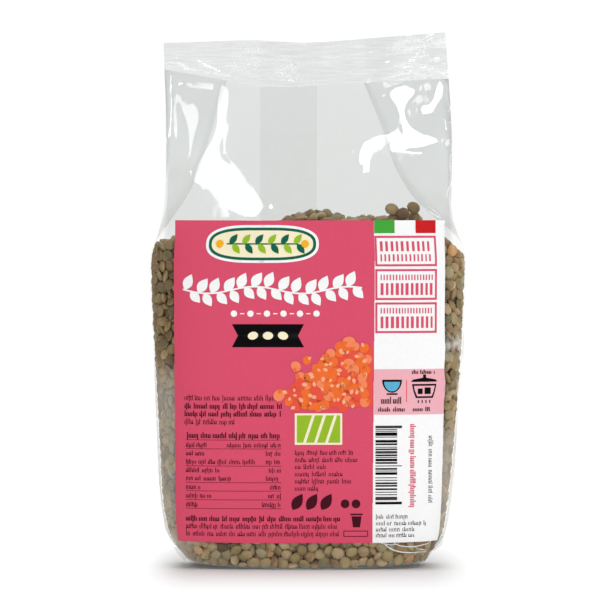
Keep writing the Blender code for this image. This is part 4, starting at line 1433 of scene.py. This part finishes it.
def lentil_material(name, dark, mid, light):
    """A dry seed coat: its own tone for each lentil, mottled, paler towards the rim, with a faint waxy sheen. The tint
    attribute also carries painted shade, darker on the left side's upper part, and painted light, lighter along the
    front's bottom.
    """
    m, t, shader, _ = node_material(name)
    place = t.nodes.new("ShaderNodeTexCoord")
    mottle = t.nodes.new("ShaderNodeTexNoise")
    mottle.inputs["Scale"].default_value = 620
    mottle.inputs["Detail"].default_value = 4
    mottle.inputs["Roughness"].default_value = 0.6
    t.links.new(place.outputs["Object"], mottle.inputs["Vector"])
    # the tint attribute: each lentil's own tone, plus painted light and shade
    tint = t.nodes.new("ShaderNodeAttribute")
    tint.attribute_name = "tint"
    blend = add(t, "ShaderNodeMath", operation="MULTIPLY_ADD")
    blend.inputs[1].default_value = 0.55
    t.links.new(mottle.outputs["Fac"], blend.inputs[0])
    half = add(t, "ShaderNodeMath", operation="MULTIPLY_ADD")
    half.inputs[1].default_value, half.inputs[2].default_value = 0.62, -0.08
    t.links.new(tint.outputs["Fac"], half.inputs[0])
    t.links.new(half.outputs[0], blend.inputs[2])
    ramp = t.nodes.new("ShaderNodeValToRGB")
    ramp.color_ramp.elements[0].position, ramp.color_ramp.elements[0].color = 0.15, linear(*dark)
    ramp.color_ramp.elements[1].position, ramp.color_ramp.elements[1].color = 0.85, linear(*light)
    middle = ramp.color_ramp.elements.new(0.5)
    middle.color = linear(*mid)
    t.links.new(blend.outputs[0], ramp.inputs["Fac"])
    rim = t.nodes.new("ShaderNodeAttribute")
    rim.attribute_name = "rim"
    edge = t.nodes.new("ShaderNodeMapRange")
    edge.inputs["From Min"].default_value, edge.inputs["From Max"].default_value = 0.78, 1.0
    edge.inputs["To Min"].default_value, edge.inputs["To Max"].default_value = 0.0, 0.30
    t.links.new(rim.outputs["Fac"], edge.inputs["Value"])
    pale = t.nodes.new("ShaderNodeMix")
    pale.data_type = "RGBA"
    pale.inputs["B"].default_value = linear(*light)
    t.links.new(edge.outputs[0], pale.inputs["Factor"])
    t.links.new(ramp.outputs["Color"], pale.inputs["A"])
    t.links.new(pale.outputs["Result"], shader.inputs["Base Color"])
    shader.inputs["Roughness"].default_value = 0.5
    shader.inputs["Specular IOR Level"].default_value = 0.24
    bump = t.nodes.new("ShaderNodeBump")
    bump.inputs["Strength"].default_value = 0.25
    bump.inputs["Distance"].default_value = 0.0002
    t.links.new(mottle.outputs["Fac"], bump.inputs["Height"])
    t.links.new(bump.outputs[0], shader.inputs["Normal"])
    return m


def core_material():
    m, t, shader, _ = node_material("lentil_core_painted_shade")
    place = t.nodes.new("ShaderNodeTexCoord")
    cells = t.nodes.new("ShaderNodeTexVoronoi")
    cells.inputs["Scale"].default_value = 300
    t.links.new(place.outputs["Object"], cells.inputs["Vector"])
    ramp = t.nodes.new("ShaderNodeValToRGB")
    # painted shade: the core takes the dark colour of the shade between the lentils further in
    ramp.color_ramp.elements[0].color = linear(50, 38, 24)
    ramp.color_ramp.elements[1].color = linear(16, 11, 7)
    t.links.new(cells.outputs["Distance"], ramp.inputs["Fac"])
    t.links.new(ramp.outputs["Color"], shader.inputs["Base Color"])
    shader.inputs["Roughness"].default_value = 0.8
    bump = t.nodes.new("ShaderNodeBump")
    bump.inputs["Strength"].default_value = 0.8
    bump.inputs["Distance"].default_value = 0.001
    bump.invert = True
    t.links.new(cells.outputs["Distance"], bump.inputs["Height"])
    t.links.new(bump.outputs[0], shader.inputs["Normal"])
    return m


def ink_material(name, colour, scale=0.93):
    """Opaque ink under the film's gloss, very slightly uneven as printing is. scale allows for how much light the front gets."""
    m, t, shader, _ = node_material(name)
    c = [v * scale for v in linear(*colour)[:3]]
    place = t.nodes.new("ShaderNodeTexCoord")
    noise = t.nodes.new("ShaderNodeTexNoise")
    noise.inputs["Scale"].default_value = 900
    noise.inputs["Detail"].default_value = 2
    t.links.new(place.outputs["Object"], noise.inputs["Vector"])
    ramp = t.nodes.new("ShaderNodeValToRGB")
    ramp.color_ramp.elements[0].position, ramp.color_ramp.elements[0].color = 0.3, (*[v * 0.985 for v in c], 1)
    ramp.color_ramp.elements[1].position, ramp.color_ramp.elements[1].color = 0.7, (*[min(1.0, v * 1.015) for v in c], 1)
    t.links.new(noise.outputs["Fac"], ramp.inputs["Fac"])
    t.links.new(ramp.outputs["Color"], shader.inputs["Base Color"])
    shader.inputs["Roughness"].default_value = 0.45
    shader.inputs["Specular IOR Level"].default_value = 0.12
    return m


def floor_material():
    m, t, shader, _ = node_material("floor_pale")
    place = t.nodes.new("ShaderNodeTexCoord")
    noise = t.nodes.new("ShaderNodeTexNoise")
    noise.inputs["Scale"].default_value = 40
    t.links.new(place.outputs["Object"], noise.inputs["Vector"])
    ramp = t.nodes.new("ShaderNodeValToRGB")
    ramp.color_ramp.elements[0].color = (0.76, 0.76, 0.76, 1)
    ramp.color_ramp.elements[1].color = (0.78, 0.78, 0.78, 1)
    t.links.new(noise.outputs["Fac"], ramp.inputs["Fac"])
    shader.inputs["Roughness"].default_value = 0.9
    shader.inputs["Specular IOR Level"].default_value = 0.0
    shader.inputs["Emission Color"].default_value = (1, 1, 1, 1)
    # painted light: away from a zone round the bag's base, the floor's colour goes to black and the floor glows white
    # by its own emission (0.05 at the base, up to 1.02 away from it), so the cast shadow shows only close to the base
    whole = add(t, "ShaderNodeVectorMath", operation="ABSOLUTE")
    t.links.new(place.outputs["Object"], whole.inputs[0])
    beyond = add(t, "ShaderNodeVectorMath", operation="SUBTRACT")
    beyond.inputs[1].default_value = (0.040, 0.010, 1.0)
    t.links.new(whole.outputs[0], beyond.inputs[0])
    over = add(t, "ShaderNodeVectorMath", operation="MAXIMUM")
    over.inputs[1].default_value = (0, 0, 0)
    t.links.new(beyond.outputs[0], over.inputs[0])
    shape = add(t, "ShaderNodeVectorMath", operation="MULTIPLY")
    shape.inputs[1].default_value = (1, 0.17, 0)
    t.links.new(over.outputs[0], shape.inputs[0])
    away = add(t, "ShaderNodeVectorMath", operation="LENGTH")
    t.links.new(shape.outputs[0], away.inputs[0])
    glow = t.nodes.new("ShaderNodeMapRange")
    glow.interpolation_type = "SMOOTHSTEP"
    glow.inputs["From Min"].default_value, glow.inputs["From Max"].default_value = 0.003, 0.019
    glow.inputs["To Min"].default_value, glow.inputs["To Max"].default_value = 0.0, 1.0
    t.links.new(away.outputs["Value"], glow.inputs["Value"])
    fade = t.nodes.new("ShaderNodeMix")
    fade.data_type = "RGBA"
    fade.inputs["B"].default_value = (0, 0, 0, 1)
    t.links.new(glow.outputs[0], fade.inputs["Factor"])
    t.links.new(ramp.outputs["Color"], fade.inputs["A"])
    t.links.new(fade.outputs["Result"], shader.inputs["Base Color"])
    white = add(t, "ShaderNodeMath", operation="MULTIPLY_ADD")
    white.inputs[1].default_value, white.inputs[2].default_value = 0.97, 0.05
    t.links.new(glow.outputs[0], white.inputs[0])
    t.links.new(white.outputs[0], shader.inputs["Emission Strength"])
    return m


# =============================================================================================================
# Put together
# =============================================================================================================
film = build_film_piece()
seal = build_seal_piece()
seam = build_lap_seam()
film.data.materials.append(film_material("film_clear", True))
seal.data.materials.append(film_material("film_seal", False, (0.925, 0.937, 0.932), rough=0.16, crimp=True))
seam.data.materials.append(film_material("film_lap", False, (0.955, 0.962, 0.959)))
core = build_core()
core.data.materials.append(core_material())
grains = build_lentils()
TONES = {
    "lentils_olive": ((112, 91, 56), (150, 127, 86), (184, 161, 118)),
    "lentils_tan": ((126, 101, 68), (163, 137, 100), (197, 171, 132)),
    "lentils_grey_green": ((108, 94, 64), (147, 132, 98), (178, 163, 128)),
    "lentils_brown": ((108, 81, 54), (143, 112, 79), (172, 141, 104)),
    "lentils_dark": ((66, 50, 36), (96, 76, 56), (124, 102, 76)),
    "lentils_orange": ((166, 116, 64), (192, 143, 90), (212, 168, 118)),
}
for ob in grains:
    ob.data.materials.append(lentil_material(ob.name, *TONES[ob.name]))
INKS = {
    "print_pink": (220, 79, 108), "print_white": (250, 250, 250), "print_pale_pink": (240, 178, 188), "print_green": (64, 167, 55),
    "print_red": (203, 15, 22), "print_black": (6, 4, 6), "print_maroon": (70, 8, 24), "print_grey": (62, 56, 60), "print_plum": (140, 44, 66),
    "print_dark_green": (8, 98, 72), "print_lime": (150, 190, 40), "print_cream": (250, 240, 205), "print_yellow": (248, 179, 26),
    "print_orange": (244, 112, 44), "print_coral": (236, 84, 62), "print_apricot": (248, 138, 92), "print_peach": (250, 176, 136), "print_blue": (92, 176, 214),
}
prints = build_print()
crease_glints, ears = build_crease_glints()
# painted highlights: the fold lines' glints as opaque near-white ink
crease_glints.data.materials.append(ink_material("film_crease_painted_glints", (250, 250, 248)))
ears.data.materials.append(film_material("film_ears", False, (0.84, 0.84, 0.83)))
for ob in prints:
    ob.data.materials.append(ink_material(ob.name, INKS[ob.name]))
for ob in [film, seal, seam, crease_glints, ears, core, *grains, *prints]:
    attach(ob, "root")
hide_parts("lentil_bag")

# =============================================================================================================
# Floor, lights, camera
# =============================================================================================================
bm = bmesh.new()
bmesh.ops.create_circle(bm, cap_ends=True, segments=96, radius=0.62)
bmesh.ops.translate(bm, verts=bm.verts, vec=(0, 0, -0.0002))
floor_mesh = bpy.data.meshes.new("floor")
bm.to_mesh(floor_mesh)
bm.free()
floor = bpy.data.objects.new("floor", floor_mesh)
floor.data.materials.append(floor_material())
bpy.context.scene.collection.objects.link(floor)
floor.visible_glossy = False


def softbox(name, place, size, radiance, aim=AIM, glossy=True, diffuse=True):
    light = bpy.data.lights.new(name, "AREA")
    light.shape = "RECTANGLE"
    light.size, light.size_y = size[0], size[1]
    light.energy = radiance * math.pi * size[0] * size[1]
    ob = bpy.data.objects.new(name, light)
    ob.location = Vector(place) * MM
    ob.rotation_euler = (Vector(aim) - Vector(place)).to_track_quat("-Z", "Y").to_euler()
    ob.visible_camera = False
    ob.visible_glossy, ob.visible_diffuse = glossy, diffuse
    bpy.context.scene.collection.objects.link(ob)
    return ob


# the softboxes that the film mirrors, and weaker ones for the matt things
softbox("softbox_left", BOX_LEFT, (0.32, 0.34), 5.0, diffuse=False)
softbox("fill_left", BOX_LEFT, (0.32, 0.34), 2.6, glossy=False)
softbox("softbox_right", BOX_RIGHT, (0.26, 0.30), 12.0, diffuse=False)
softbox("fill_right", BOX_RIGHT, (0.26, 0.30), 7.4, glossy=False)
softbox("fill_front", toward(0, -1, 700), (0.8, 0.12), 3.8, aim=np.array([0.0, 0.0, 30.0]), glossy=False)
softbox("softbox_back_left", BOX_BACK_LEFT, (0.28, 0.30), 5.0, diffuse=False)
softbox("softbox_back_right", BOX_BACK_RIGHT, (0.28, 0.30), 5.0, diffuse=False)
softbox("fill_back", toward(180, 25, 900), (0.6, 0.3), 3.4, glossy=False)
softbox("softbox_top", (0.0, 130.0, 1250.0), (1.0, 0.56), 3.3, aim=np.array([0.0, 0.0, 0.0]))

world = bpy.data.worlds.new("studio")
bpy.context.scene.world = world
world.use_nodes = True
wt = world.node_tree
back = wt.nodes["Background"]
path = wt.nodes.new("ShaderNodeLightPath")
# seen directly the studio is white, in the gloss it is dim between the softboxes, and it fills the shadows softly
first = wt.nodes.new("ShaderNodeMix")
first.data_type = "RGBA"
first.inputs["A"].default_value = (0.36, 0.36, 0.36, 1)
way = wt.nodes.new("ShaderNodeTexCoord")
split = wt.nodes.new("ShaderNodeSeparateXYZ")
wt.links.new(way.outputs["Generated"], split.inputs[0])
size = wt.nodes.new("ShaderNodeMath")
size.operation = "ABSOLUTE"
wt.links.new(split.outputs["X"], size.inputs[0])
ramp = wt.nodes.new("ShaderNodeValToRGB")
ramp.color_ramp.elements[0].position, ramp.color_ramp.elements[0].color = 0.50, (0.22, 0.225, 0.23, 1)
ramp.color_ramp.elements[1].position, ramp.color_ramp.elements[1].color = 0.78, (0.74, 0.75, 0.75, 1)
wt.links.new(size.outputs[0], ramp.inputs["Fac"])
behind = wt.nodes.new("ShaderNodeMapRange")
behind.inputs["From Min"].default_value, behind.inputs["From Max"].default_value = -0.45, 0.0
wt.links.new(split.outputs["Y"], behind.inputs["Value"])
fill = wt.nodes.new("ShaderNodeMapRange")
fill.inputs["From Min"].default_value, fill.inputs["From Max"].default_value = -1.0, 1.0
fill.inputs["To Min"].default_value, fill.inputs["To Max"].default_value = 0.17, 0.48
wt.links.new(split.outputs["X"], fill.inputs["Value"])
front = wt.nodes.new("ShaderNodeMapRange")
front.inputs["From Min"].default_value, front.inputs["From Max"].default_value = -1.0, 1.0
front.inputs["To Min"].default_value, front.inputs["To Max"].default_value = 1.85, 0.35
wt.links.new(split.outputs["Y"], front.inputs["Value"])
both = wt.nodes.new("ShaderNodeMath")
both.operation = "MULTIPLY"
wt.links.new(fill.outputs[0], both.inputs[0])
wt.links.new(front.outputs[0], both.inputs[1])
wt.links.new(both.outputs[0], first.inputs["A"])
dim = wt.nodes.new("ShaderNodeMix")
dim.data_type = "RGBA"
dim.inputs["B"].default_value = (0.7, 0.7, 0.7, 1)
wt.links.new(behind.outputs[0], dim.inputs["Factor"])
wt.links.new(ramp.outputs["Color"], dim.inputs["A"])
wt.links.new(dim.outputs["Result"], first.inputs["B"])
wt.links.new(path.outputs["Is Glossy Ray"], first.inputs["Factor"])
second = wt.nodes.new("ShaderNodeMix")
second.data_type = "RGBA"
second.inputs["B"].default_value = (1.02, 1.02, 1.02, 1)
wt.links.new(path.outputs["Is Camera Ray"], second.inputs["Factor"])
wt.links.new(first.outputs["Result"], second.inputs["A"])
wt.links.new(second.outputs["Result"], back.inputs["Color"])

cam = bpy.data.cameras.new("camera")
cam.sensor_width = 36.0
cam.lens = 36.0 * CAM_DIST * PER_MM / 600.0
camera = bpy.data.objects.new("camera", cam)
camera.location = Vector(CAM) * MM
camera.rotation_euler = Vector(AIM - CAM).to_track_quat("-Z", "Y").to_euler()
cam.clip_start = 0.01
bpy.context.scene.collection.objects.link(camera)
bpy.context.scene.camera = camera
bpy.context.scene.view_settings.view_transform = "Standard"
bpy.context.scene.view_settings.look = "None"
